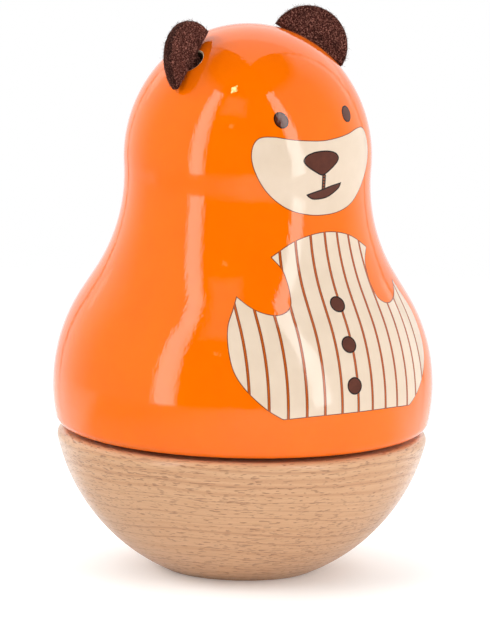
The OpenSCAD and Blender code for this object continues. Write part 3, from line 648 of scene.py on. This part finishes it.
BIB_HALF = [
    (0, 94.9), (4.8, 94.4), (10, 92.8), (16.5, 89.2, CORNER),
    (14.2, 86), (13.7, 83.4), (13.8, 80), (14.7, 77.2), (16.8, 75.7), (19.6, 75.2), (23.2, 76), (25.5, 77.3),
    (28, 79.6, CORNER), (30, 76.6), (33, 72.2), (34.3, 67.2), (33.9, 61.4), (31.4, 57), (25.8, 51.7),
    (21.2, 48.9, CORNER), (12, 49.5), (0, 49.7),
]
MUZZLE_HALF = [
    (0, 118.8), (5, 119.1), (9.5, 119.6), (14.5, 120.4), (18.1, 120.1), (19.9, 118.5), (20.8, 115.6),
    (20.5, 112.7), (18.7, 108.6), (15.4, 104.5), (10.6, 101.1), (5.2, 99.5), (0, 99.1),
]
NOSE_X = -0.25
NOSE_HALF = [(0, 116.2), (3, 115.9), (5, 115.1), (5.8, 113.9), (5.2, 112.8), (2.1, 110.6), (0, 109.7)]
MOUTH = [
    (-5, 104.9, CORNER), (-3.3, 105.4), (-0.1, 106.1), (2.8, 106.8), (6.6, 107.3, CORNER),
    (6, 106), (4, 104.7), (1.5, 103.7), (-0.9, 103.4), (-3, 103.5), (-4.3, 104.2),
]
STEM_X = 0.3
STEM_HALF = 0.6
STEM_TOP = 109.9
STEM_END = 106.0
STEM_STEPS = 8
STITCH_PITCH = 0.78
STITCH_HALF = (0.28, 0.24)
EYE_Z = 124.4
EYE_X = {"right": -10.75, "left": 11.2}
EYE_HALF = (1.95, 2.05)
BUTTONS = ((-0.65, 76.9), (-0.85, 67.1), (-1.0, 56.7))
BUTTON_R = 2.3
MUZZLE_SHIFT = 0.7
BIB_SHIFT = -0.6
BIB_LEAN = 1.0
BIB_LEAN_REACH = 40.0
STRIPE_PITCH = {"right": 5.1, "left": 4.82}
STRIPES_A_SIDE = 6
STRIPE_FOOT = 48.0
STRIPE_STATIONS = 60
STRIPE_TAPER = 0.000062
STRIPE_DRIFT = 0.25
BIB_LEVEL = 49.0
STRIPE_HALF = 0.16
STRIPE_EDGE = 0.24


def mirrored(half):
    """A whole outline from its half on the bear's left."""
    return half + [(-x, *rest) for x, *rest in reversed(half) if x]


def knot_step(a, b):
    """The curve's own step between two points, the root of their distance."""
    return sqrt((b - a).length) or TINY


def curve_through(points, closed):
    """Points about LINE_STEP apart on a smooth curve through the given ones."""
    count = len(points)
    along = []
    for i in range(count if closed else count - 1):
        p1 = points[i]
        p2 = points[(i + 1) % count]
        p0 = points[i - 1] if closed or i else p1 * 2 - p2
        p3 = points[(i + 2) % count] if closed or i + 2 < count else p2 * 2 - p1
        t1 = knot_step(p0, p1)
        t2 = knot_step(p1, p2)
        t3 = knot_step(p2, p3)
        m1 = ((p1 - p0) / t1 - (p2 - p0) / (t1 + t2) + (p2 - p1) / t2) * t2
        m2 = ((p2 - p1) / t2 - (p3 - p1) / (t2 + t3) + (p3 - p2) / t3) * t2
        steps = max(1, ceil((p2 - p1).length / LINE_STEP))
        for s in range(steps):
            t = s / steps
            far = t * t * (3 - 2 * t)
            along.append(p1 * (1 - far) + p2 * far + m1 * (t * (1 - t) ** 2) + m2 * (t * t * (t - 1)))
    if not closed:
        along.append(points[-1])
    return along


def closed_outline(points):
    """A closed line through points, smooth except at its corners."""
    flat = [Vector(p[:2]) for p in points]
    corners = [i for i, p in enumerate(points) if len(p) > 2]
    if not corners:
        return curve_through(flat, True)
    first = corners[0]
    turned = flat[first:] + flat[:first + 1]
    stops = [c - first for c in corners] + [len(points)]
    along = []
    for start, end in zip(stops, stops[1:]):
        along += curve_through(turned[start:end + 1], False)[:-1]
    return along


def oval(x, z, half_x, half_z):
    """A closed oval line."""
    steps = ceil(2 * pi * max(half_x, half_z) / LINE_STEP)
    turns = [2 * pi * i / steps for i in range(steps)]
    return [Vector((x + half_x * cos(t), z + half_z * sin(t))) for t in turns]


def inside(loop, points):
    """Which points lie inside a closed line."""
    a = np.array([tuple(p) for p in loop])
    b = np.roll(a, -1, axis=0)
    rise = b[:, 1] - a[:, 1]
    rise[rise == 0] = TINY ** 2
    x = points[:, 0]
    z = points[:, 1]
    crosses = (a[:, 1, None] > z) != (b[:, 1, None] > z)
    at = a[:, 0, None] + (z - a[:, 1, None]) * ((b[:, 0] - a[:, 0]) / rise)[:, None]
    return (crosses & (x < at)).sum(axis=0) % 2 == 1


def away_from(line, points, closed=True):
    """Distance of each point from a line."""
    a = np.array([tuple(p) for p in line])
    b = np.roll(a, -1, axis=0)
    if not closed:
        a = a[:-1]
        b = b[:-1]
    way = b - a
    length = np.maximum((way ** 2).sum(axis=1), TINY ** 2)
    gap = points[:, None, :] - a[None]
    t = np.clip((gap * way[None]).sum(axis=2) / length, 0, 1)
    return np.sqrt(((gap - t[..., None] * way[None]) ** 2).sum(axis=2)).min(axis=1)


def inset(loop, by):
    """A closed line moved inwards, without the points that come too near to it at corners."""
    line = np.array([tuple(p) for p in loop])
    way = np.roll(line, -1, axis=0) - np.roll(line, 1, axis=0)
    way /= np.maximum(np.linalg.norm(way, axis=1), TINY)[:, None]
    turned = np.stack([-way[:, 1], way[:, 0]], axis=1)
    area = (line[:, 0] * np.roll(line[:, 1], -1) - np.roll(line[:, 0], -1) * line[:, 1]).sum()
    moved = line + turned * by * (1 if area > 0 else -1)
    kept = moved[away_from(loop, moved) > INSET_KEPT * by]
    return [Vector(p) for p in kept]


def on_skin(x, z, lift):
    """The place and normal on the body of a printed point."""
    r, out, up = skin(z)
    turn = x / r
    reach = r + lift * out
    place = Vector((reach * sin(turn), -reach * cos(turn), z + lift * up)) * MM
    return place, (out * sin(turn), -out * cos(turn), up)


def joined(lines, closed):
    """Points and edges of several lines, for a triangulation."""
    points = []
    edges = []
    for line in lines:
        first = len(points)
        points += [Vector(p) for p in line]
        edges += [(first + i, first + i + 1) for i in range(len(line) - 1)]
        if closed:
            edges.append((first + len(line) - 1, first))
    return points, edges


def filling(loop, lines, step):
    """Evenly spread points inside a closed line, clear of the given lines."""
    outline = np.array([tuple(p) for p in loop])
    low = outline.min(axis=0)
    high = outline.max(axis=0)
    row_step = step * sqrt(3) / 2
    columns = ceil((high[0] - low[0]) / step)
    spread = []
    for row in range(ceil((high[1] - low[1]) / row_step)):
        start = low[0] + (step / 2 if row % 2 else 0)
        spread += [(start + step * i, low[1] + row * row_step) for i in range(columns)]
    spread = np.array(spread)
    spread = spread[inside(loop, spread)]
    for line in lines:
        spread = spread[away_from(line, spread, False) > GRID_CLEAR * step]
    spread = spread[away_from(loop, spread) > GRID_CLEAR * step]
    return [Vector(p) for p in spread]


def printed(name, outline, lift, inks, edge=INK_EDGE, stripes=(), stripe_ink=None, step=PRINT_GRID):
    """A coat of ink laid on the body: inks are its field, its edge line and its stripes."""
    inner = inset(outline, edge)
    points, edges = joined([outline, inner], True)
    more, more_edges = joined(stripes, False)
    edges += [(a + len(points), b + len(points)) for a, b in more_edges]
    points += more
    points += filling(outline, list(stripes), step)
    flat, _, faces, *_ = delaunay_2d_cdt(points, edges, [], 0, WELD)
    corners = np.array([tuple(p) for p in flat])
    middles = np.array([corners[list(f)].mean(axis=0) for f in faces])
    field = np.where(inside(outline, middles), 1, -1)
    field[inside(inner, middles)] = 0
    if stripe_ink:
        field = stripe_ink(middles, field)
    kept = [i for i in range(len(faces)) if field[i] >= 0]
    used = sorted({v for i in kept for v in faces[i]})
    renumbered = {v: i for i, v in enumerate(used)}
    laid = [on_skin(*corners[v], lift) for v in used]
    mesh = bpy.data.meshes.new(name)
    mesh.from_pydata([p for p, _ in laid], [], [[renumbered[v] for v in faces[i]] for i in kept])
    mesh.polygons.foreach_set("material_index", [int(field[i]) for i in kept])
    mesh.shade_smooth()
    mesh.normals_split_custom_set_from_vertices([n for _, n in laid])
    return piece(placed(name, mesh, inks), "upper", "orange_lacquer")


def lean(z):
    """How far the bib's middle stands to the bear's left at a height."""
    return BIB_SHIFT + BIB_LEAN * sin(pi / 2 * min(max((z - BIB_LEVEL) / BIB_LEAN_REACH, 0.0), 1.0))


def stripe_x(k, z):
    """The middle of stripe k at a height; k counts from the bib's middle towards the bear's left."""
    up = z - BIB_LEVEL
    drift = STRIPE_DRIFT * (up / BIB_LEAN_REACH) ** 2
    return drift + k * STRIPE_PITCH["right" if k < 0 else "left"] * (1 - STRIPE_TAPER * up ** 2)


def stripe_lines():
    """The sides of each stripe in the bib, and of its edge lines."""
    heights = [STRIPE_FOOT + 2 * LINE_STEP * i for i in range(STRIPE_STATIONS)]
    lines = []
    for k in range(-STRIPES_A_SIDE, STRIPES_A_SIDE + 1):
        for off in (-STRIPE_HALF - STRIPE_EDGE, -STRIPE_HALF, STRIPE_HALF, STRIPE_HALF + STRIPE_EDGE):
            lines.append([Vector((stripe_x(k, z) + off, z)) for z in heights])
    return lines


def bib_ink(middles, field):
    """Draws the stripes and their edge lines."""
    field = field.copy()
    for k in range(-STRIPES_A_SIDE, STRIPES_A_SIDE + 1):
        off = abs(middles[:, 0] - np.array([stripe_x(k, z) for z in middles[:, 1]]))
        field[(off < STRIPE_HALF + STRIPE_EDGE) & (field == 0)] = 1
        field[(off < STRIPE_HALF) & (field >= 0)] = 2
    return field


def stem_ink(middles, field):
    """Draws the pale stitches in the mouth's stem."""
    field = field.copy()
    along = (middles[:, 1] - STEM_END) % STITCH_PITCH - STITCH_PITCH / 2
    across = middles[:, 0] - STEM_X
    field[(abs(across) < STITCH_HALF[0]) & (abs(along) < STITCH_HALF[1]) & (field == 0)] = 2
    return field


bib = [Vector((p.x + lean(p.y), p.y)) for p in closed_outline(mirrored(BIB_HALF))]
printed("bib_print", bib, BIB_LIFT, [cream, line_brown, stripe_brown], stripes=stripe_lines(),
        stripe_ink=bib_ink)
muzzle = [Vector((p.x + MUZZLE_SHIFT, p.y)) for p in closed_outline(mirrored(MUZZLE_HALF))]
printed("muzzle_print", muzzle, FACE_LIFT, [cream, line_brown])
nose = [Vector((p.x + NOSE_X, p.y)) for p in closed_outline(mirrored(NOSE_HALF))]
printed("nose_print", nose, TOP_LIFT, [brown, dark_line], BOLD_EDGE, step=FINE_GRID)
printed("mouth_print", closed_outline(MOUTH), TOP_LIFT, [brown, dark_line], BOLD_EDGE, step=FINE_GRID)
stem = [Vector((STEM_X + side * STEM_HALF, z)) for side, z in
        ((-1, STEM_END), (1, STEM_END), (1, STEM_TOP), (-1, STEM_TOP))]
stem_line = [a.lerp(b, i / STEM_STEPS) for a, b in zip(stem, stem[1:] + stem[:1]) for i in range(STEM_STEPS)]
printed("stem_print", stem_line, (TOP_LIFT + FACE_LIFT) / 2, [dark_line, dark_line, line_brown],
        stripe_ink=stem_ink, step=STITCH_GRID)
for side, x in EYE_X.items():
    printed(f"{side}_eye_print", oval(x, EYE_Z, *EYE_HALF), TOP_LIFT,
            [brown, dark_line], BOLD_EDGE, step=FINE_GRID)
for number, (x, z) in enumerate(BUTTONS):
    steep = skin(z)[1]
    printed(f"button_print_{number + 1}", oval(x, z, BUTTON_R, BUTTON_R * steep), TOP_LIFT,
            [brown, dark_line], BOLD_EDGE, step=FINE_GRID)


# Felt ears

EAR_GRID = 0.42
EAR_EDGE = 0.5
TAB_MATTING = 0.2
NOISE_SHIFT = (3.7, 1.9, 5.3)

# Waves of the felt's surface: each is a rate per millimetre and a height
MATTING = ((1.3, 0.09), (0.35, 0.1))

# Loose fibres. They grow above FIBRES_FROM on the ear, and with FIBRE_LIES at 1 they would lie flat.
FIBRES = 1500
FIBRES_FROM = 0.2
FIBRE_R = 0.035
FIBRE_LEN = (0.7, 1.7)
FIBRE_RISE = (0.03, 0.16)
FIBRE_LIFT = 0.01
FIBRE_LIES = 0.85
FIBRE_BEND = 0.5
FIBRE_TAPER = 0.6
FIBRE_STATIONS = 4
FIBRE_SIDES = 3

# Places of an ear's materials in FELT_COATS
FELT_FACE = 0
FELT_FIBRE = 1
FELT_CUT = 2
FELT_COATS = [felt, felt_fibre, felt_edge_painted_shade]


def ear_outline():
    """The half-disc with its tab, in the ear's own X and Z."""
    arc_steps = ceil(pi * EAR_R / EAR_GRID)
    turns = [pi * i / arc_steps for i in range(arc_steps + 1)]
    rim = [Vector((EAR_R * cos(t), EAR_R * sin(t))) for t in turns]
    foot = [(-TAB_HALF, 0), (-TAB_HALF, -TAB_LEN), (TAB_HALF, -TAB_LEN), (TAB_HALF, 0)]
    corners = [rim[-1]] + [Vector(p) for p in foot] + [rim[0]]
    line = rim[:-1]
    for a, b in zip(corners, corners[1:]):
        steps = ceil((b - a).length / EAR_GRID)
        line += [a.lerp(b, i / steps) for i in range(steps)]
    return line


def half_thickness(depth):
    """Half the felt's thickness at a distance from its cut edge."""
    rise = min(depth / EAR_EDGE, 1.0)
    return EAR_T / 2 - EAR_EDGE * (1 - sqrt(rise * (2 - rise)))


def matted(point, shift):
    """How far the felt's surface stands out at a point, in millimetres."""
    return sum(height * noise.noise(point * rate + shift) for rate, height in MATTING)


def add_fibre(draw, verts, faces, start, normal):
    """One loose fibre that lies along the felt: a thin bent rod with three sides."""
    way = Vector((draw.gauss(0, 1), draw.gauss(0, 1), draw.gauss(0, 1)))
    way = (way - way.dot(normal) * normal * FIBRE_LIES).normalized()
    bend = normal.cross(way) * draw.uniform(-FIBRE_BEND, FIBRE_BEND)
    length = draw.uniform(*FIBRE_LEN)
    rise = draw.uniform(*FIBRE_RISE)
    across = way.cross(normal).normalized()
    first = len(verts)
    for s in range(FIBRE_STATIONS):
        t = s / (FIBRE_STATIONS - 1)
        run = length * t
        lift = rise * 4 * t * (1 - t) + FIBRE_LIFT
        centre = start + way * run + bend * (run * t) + normal * lift
        thick = FIBRE_R * (1 - FIBRE_TAPER * t)
        for side in range(FIBRE_SIDES):
            turn = 2 * pi * side / FIBRE_SIDES
            verts.append(centre + (across * cos(turn) + normal * sin(turn)) * thick)
    for s in range(FIBRE_STATIONS - 1):
        for side in range(FIBRE_SIDES):
            a = first + FIBRE_SIDES * s + side
            b = first + FIBRE_SIDES * s + (side + 1) % FIBRE_SIDES
            faces.append((a, b, b + FIBRE_SIDES, a + FIBRE_SIDES))
    end = first + FIBRE_SIDES * (FIBRE_STATIONS - 1)
    faces.append(tuple(reversed(range(first, first + FIBRE_SIDES))))
    faces.append(tuple(range(end, end + FIBRE_SIDES)))


def felt_ear(name, place, seed):
    """A cut felt ear: two matted faces, a cut edge between them and loose fibres."""
    draw = random.Random(seed)
    shift = Vector([seed * part for part in NOISE_SHIFT])
    line = ear_outline()
    points, edges = joined([line], True)
    points += filling(line, [], EAR_GRID)
    flat, _, tris, *_ = delaunay_2d_cdt(points, edges, [], 1, WELD)
    corners = np.array([tuple(p) for p in flat])
    middles = np.array([corners[list(t)].mean(axis=0) for t in tris])
    tris = [t for t, within in zip(tris, inside(line, middles)) if within]
    depth = away_from(line, corners)
    depth[:len(line)] = 0
    verts = []
    for side in (-1, 1):
        for (x, z), d in zip(corners, depth):
            spot = Vector((x, side * half_thickness(d), z))
            spot.y += side * matted(spot, shift) * (1 if z > 0 else TAB_MATTING)
            verts.append(spot)
    count = len(corners)
    faces = [tuple(t) for t in tris] + [tuple(v + count for v in reversed(t)) for t in tris]
    rim = len(line)
    for i in range(rim):
        j = (i + 1) % rim
        faces.append((j, i, i + count, j + count))
    ear_faces = len(faces)
    # Faces at the cut edge take the darker edge felt, painted shade
    at_edge = [FELT_CUT if max(depth[v] for v in t) < EAR_EDGE else FELT_FACE for t in tris]
    tints = at_edge + at_edge + [FELT_CUT] * rim
    body_mesh = bpy.data.meshes.new(name + "_form")
    body_mesh.from_pydata(verts, [], faces)
    open_faces = [f for f in body_mesh.polygons if f.center.z > FIBRES_FROM]
    sizes = [f.area for f in open_faces]
    for face in draw.choices(open_faces, weights=sizes, k=FIBRES):
        add_fibre(draw, verts, faces, face.center.copy(), face.normal.copy())
    bpy.data.meshes.remove(body_mesh)
    mesh = bpy.data.meshes.new(name)
    mesh.from_pydata([v * MM for v in verts], [], faces)
    tints += [FELT_FIBRE] * (len(faces) - ear_faces)
    mesh.polygons.foreach_set("material_index", tints)
    mesh.transform(place)
    mesh.shade_smooth()
    return placed(name, mesh, FELT_COATS)


piece(felt_ear("felt_ear_left", LEFT_EAR, SEED), "upper", "felt", "ear_left")
piece(felt_ear("felt_ear_right", RIGHT_EAR, SEED + 1), "upper", "felt", "ear_right")


# Camera at the photograph's viewing angle. Azimuth is turned from the front towards the bear's right, and
# the offset moves the eye to its right and up. Angles are radians, and the far clip is in metres.

CAM_AZIMUTH = 0.648
CAM_ELEVATION = radians(10.286)
CAM_ROLL = radians(1.252)
CAM_DISTANCE = 2736.84
CAM_LENS = 604.24
CAM_LOOKS_AT = 73.684
CAM_OFFSET = (0.04, -4.48)
SENSOR_WIDTH = 36.0
FAR_CLIP = 50.0

towards = Vector((-sin(CAM_AZIMUTH), -cos(CAM_AZIMUTH), 0.0))
rightwards = Vector((cos(CAM_AZIMUTH), -sin(CAM_AZIMUTH), 0.0))
upwards = Vector((0.0, 0.0, 1.0))
back = towards * cos(CAM_ELEVATION) + upwards * sin(CAM_ELEVATION)
level_up = back.cross(rightwards)
cam_right = rightwards * cos(CAM_ROLL) + level_up * sin(CAM_ROLL)
cam_up = level_up * cos(CAM_ROLL) - rightwards * sin(CAM_ROLL)
centre = Vector((0.0, 0.0, CAM_LOOKS_AT))
eye = centre + back * CAM_DISTANCE + cam_right * CAM_OFFSET[0] + cam_up * CAM_OFFSET[1]
camera = bpy.data.objects.new("camera", bpy.data.cameras.new("camera"))
camera.data.lens = CAM_LENS
camera.data.sensor_width = SENSOR_WIDTH
camera.data.clip_end = FAR_CLIP
camera.matrix_world = Matrix.Translation(eye * MM) @ Matrix((cam_right, cam_up, back)).transposed().to_4x4()
bpy.context.scene.collection.objects.link(camera)
bpy.context.scene.camera = camera


# Floor, which is white to the camera where no shadow falls, with a painted shadow round the foot where its
# glow to the camera is dimmer, and fades out towards its rim. Lengths here and in the studio are metres, and
# pairs of them are where a change begins and ends.

FLOOR_R = 0.7
FLOOR_SEGMENTS = 64
FLOOR_WHOLE = 0.3
FLOOR_MIDDLE = 0.25
FLOOR_PALE = (srgb(237, 237, 237), srgb(241, 241, 241))
FLOOR_SHADE = srgb(152, 152, 152)
SHADE_SIDE = (-0.22, 0.0)
FLOOR_SHOWN = (0.95, 0.98, 1.0, 1.0)
SHOWN_BEHIND = (0.0, -0.05)
# The floor's glow to the camera, dimmer near the foot as a painted shadow, and how far from the foot it rises
FLOOR_FILL_WITH_PAINTED_SHADOW = (0.09, 0.36)
PAINTED_SHADOW_REACH = (0.03, 0.062)
PURE_WHITE = (1.0, 1.0, 1.0, 1.0)


def shown_rays(tree, behind):
    """1 for rays that show the background: the camera's, those through glass, and gloss that looks behind."""
    path = node(tree, "LightPath").outputs
    gloss = reckon(tree, "MULTIPLY", path["Is Glossy Ray"], behind)
    clear = reckon(tree, "MAXIMUM", path["Is Camera Ray"], path["Is Transmission Ray"])
    return reckon(tree, "MAXIMUM", clear, gloss)


def floor_material():
    """A matt floor: white where it shows as background, and else pale, with a shaded left side; its glow to
    the camera is dimmer near the foot, a painted shadow.
    """
    material, tree, shader = new_material("floor", Roughness=0.9, Specular_IOR_Level=0.1)
    coords = object_coords(tree)
    pale = blend(tree, speckle(tree, coords, 3.0), *FLOOR_PALE)
    side = reach_along(tree, coords, rightwards)
    tone = blend(tree, graded(tree, side, *SHADE_SIDE), FLOOR_SHADE, pale)
    depth = reach_along(tree, coords, towards)
    shown = shown_rays(tree, graded(tree, depth, *SHOWN_BEHIND))
    tree.links.new(blend(tree, shown, tone, FLOOR_SHOWN), shader.inputs["Base Color"])
    middle = towards * FLOOR_MIDDLE
    reach = node(tree, "VectorMath", {0: coords, 1: middle}, operation="DISTANCE").outputs["Value"]
    tree.links.new(graded(tree, reach, FLOOR_WHOLE, FLOOR_R, 1.0, 0.0), shader.inputs["Alpha"])
    apart = node(tree, "VectorMath", {0: coords}, operation="LENGTH").outputs["Value"]
    # Less glow close to the foot, a painted shadow round it
    fill = graded(tree, apart, *PAINTED_SHADOW_REACH, *FLOOR_FILL_WITH_PAINTED_SHADOW)
    shader.inputs["Emission Color"].default_value = PURE_WHITE
    tree.links.new(reckon(tree, "MULTIPLY", shown, fill), shader.inputs["Emission Strength"])
    return material


floor_mesh = bpy.data.meshes.new("floor")
floor_turns = [2 * pi * i / FLOOR_SEGMENTS for i in range(FLOOR_SEGMENTS)]
floor_rim = [(FLOOR_R * cos(t), FLOOR_R * sin(t), 0.0) for t in floor_turns]
floor_mesh.from_pydata(floor_rim, [], [list(range(FLOOR_SEGMENTS))])
floor_mesh.transform(Matrix.Translation(towards * FLOOR_MIDDLE))
placed("floor", floor_mesh, [floor_material()])


# Studio light. Directions are (azimuth, elevation) seen from the bear: azimuth 0 is towards the camera,
# and positive is to the camera's right.

WHITE = (1.0, 1.0, 1.0)
BULB = (1.0, 0.8, 0.4)

# A soft edge is made of lamps of these shares of the width, this far apart
SOFT_EDGE = (0.8, 1.0, 1.2)
EDGE_STEP = 0.005


def studio_way(azimuth, elevation):
    """A direction from the bear's middle."""
    across = towards * cos(radians(azimuth)) + rightwards * sin(radians(azimuth))
    return across * cos(radians(elevation)) + upwards * sin(radians(elevation))


def softbox(name, azimuth, elevation, distance, width, height, glow, in_gloss=True, tint=WHITE, tilt=0):
    """An upright area lamp that faces the bear; glow is its brightness, where 1 is white."""
    lamp = bpy.data.lights.new(name, "AREA")
    lamp.shape = "RECTANGLE"
    lamp.size = width
    lamp.size_y = height
    lamp.energy = glow * pi * width * height
    lamp.color = tint
    made = bpy.data.objects.new(name, lamp)
    way = studio_way(azimuth, elevation)
    aim = studio_way(azimuth, 0).to_track_quat("Z", "Y").to_matrix().to_4x4()
    place = Matrix.Translation(centre * MM + way * distance) @ aim
    made.matrix_world = place @ Matrix.Rotation(radians(tilt), 4, "Z")
    made.visible_camera = False
    made.visible_glossy = in_gloss
    bpy.context.scene.collection.objects.link(made)


def strip(name, azimuth, distance, width, height, glow, tilt=0):
    """A strip softbox with soft edges that stands on the floor."""
    middle = height / 2 - CAM_LOOKS_AT * MM
    elevation = degrees(atan2(middle, distance))
    for number, share in enumerate(SOFT_EDGE):
        softbox(f"{name}_{number + 1}", azimuth, elevation, hypot(distance, middle) + EDGE_STEP * number,
                width * share, height - width * (1 - share), glow / len(SOFT_EDGE), tilt=tilt)


strip("left_strip", azimuth=-46.5, distance=0.6, width=0.15, height=0.95, glow=4.0)
strip("right_strip", azimuth=39.5, distance=0.6, width=0.125, height=1.05, glow=4.2, tilt=10)
softbox("front_fill", azimuth=6, elevation=9.6, distance=1.62, width=1.6, height=0.68, glow=2.25,
        in_gloss=False)
softbox("left_fill", azimuth=-95, elevation=30, distance=1.6, width=1.4, height=0.8, glow=3.8, in_gloss=False)
softbox("right_fill", azimuth=95, elevation=18, distance=1.6, width=1.4, height=0.8, glow=2.6, in_gloss=False)
softbox("back_panel", azimuth=180, elevation=40, distance=1.5, width=2.4, height=1.2, glow=0.4)
for number, share in enumerate(SOFT_EDGE):
    softbox(f"window_{number + 1}", azimuth=-18, elevation=49, distance=2.6 + EDGE_STEP * number,
            width=0.85 * share, height=0.95 * share, glow=0.2)
softbox("near_bulb", azimuth=-18, elevation=31, distance=2.5, width=0.16, height=0.14, glow=2.0, tint=BULB)
for number, azimuth in enumerate((-23, -26, -28)):
    softbox(f"far_bulb_{number + 1}", azimuth, elevation=62 - number, distance=2.5, width=0.05, height=0.3,
            glow=26.0, tint=BULB)

# Brightness of the studio round the bear
SIDE_WALL = 0.54
BACK_WALL = 1.2
SWEEP = 1.4
SWEEP_LINE = 0.4
DARK = 0.03
DARK_MIDDLE = -3.0

# Where one part of the studio gives way to the next: cosines from the dark side's middle, and for the top
# the upward part of the direction
DARK_EDGE = (0.72, 0.75)
WALL_RUN = (-0.2, -0.78)
LINE_EDGE = (-0.8, -0.815)
SWEEP_EDGE = (-0.835, -0.85)
TOP_EDGE = (0.8, 0.88)


def studio_world():
    """Pale walls, a white sweep behind, dark overhead and on the camera's side; white as background."""
    world = bpy.data.worlds.new("studio")
    world.use_nodes = True
    tree = world.node_tree
    way = node(tree, "SeparateXYZ", {"Vector": node(tree, "TexCoord").outputs["Generated"]}).outputs
    level = node(tree, "CombineXYZ", {"X": way["X"], "Y": way["Y"]}).outputs[0]
    bearing = node(tree, "VectorMath", {0: level}, operation="NORMALIZE").outputs["Vector"]
    facing = reach_along(tree, bearing, studio_way(DARK_MIDDLE, 0))
    front = graded(tree, facing, *DARK_EDGE, 1.0, DARK)
    line = graded(tree, facing, *LINE_EDGE, 1.0, SWEEP_LINE)
    sweep = graded(tree, facing, *SWEEP_EDGE, 1.0, SWEEP / SWEEP_LINE / BACK_WALL)
    top = graded(tree, way["Z"], *TOP_EDGE, 1.0, DARK)
    wall = graded(tree, facing, *WALL_RUN, SIDE_WALL, BACK_WALL)
    for share in (front, line, sweep, top):
        wall = reckon(tree, "MULTIPLY", wall, share)
    shown = shown_rays(tree, graded(tree, facing, *SWEEP_EDGE))
    strength = node(tree, "Mix", {0: shown, 2: wall, 3: 1.0}, data_type="FLOAT").outputs[0]
    background = tree.nodes["Background"]
    tree.links.new(strength, background.inputs["Strength"])
    background.inputs["Color"].default_value = PURE_WHITE
    bpy.context.scene.world = world


studio_world()
bpy.context.scene.view_settings.view_transform = "Standard"
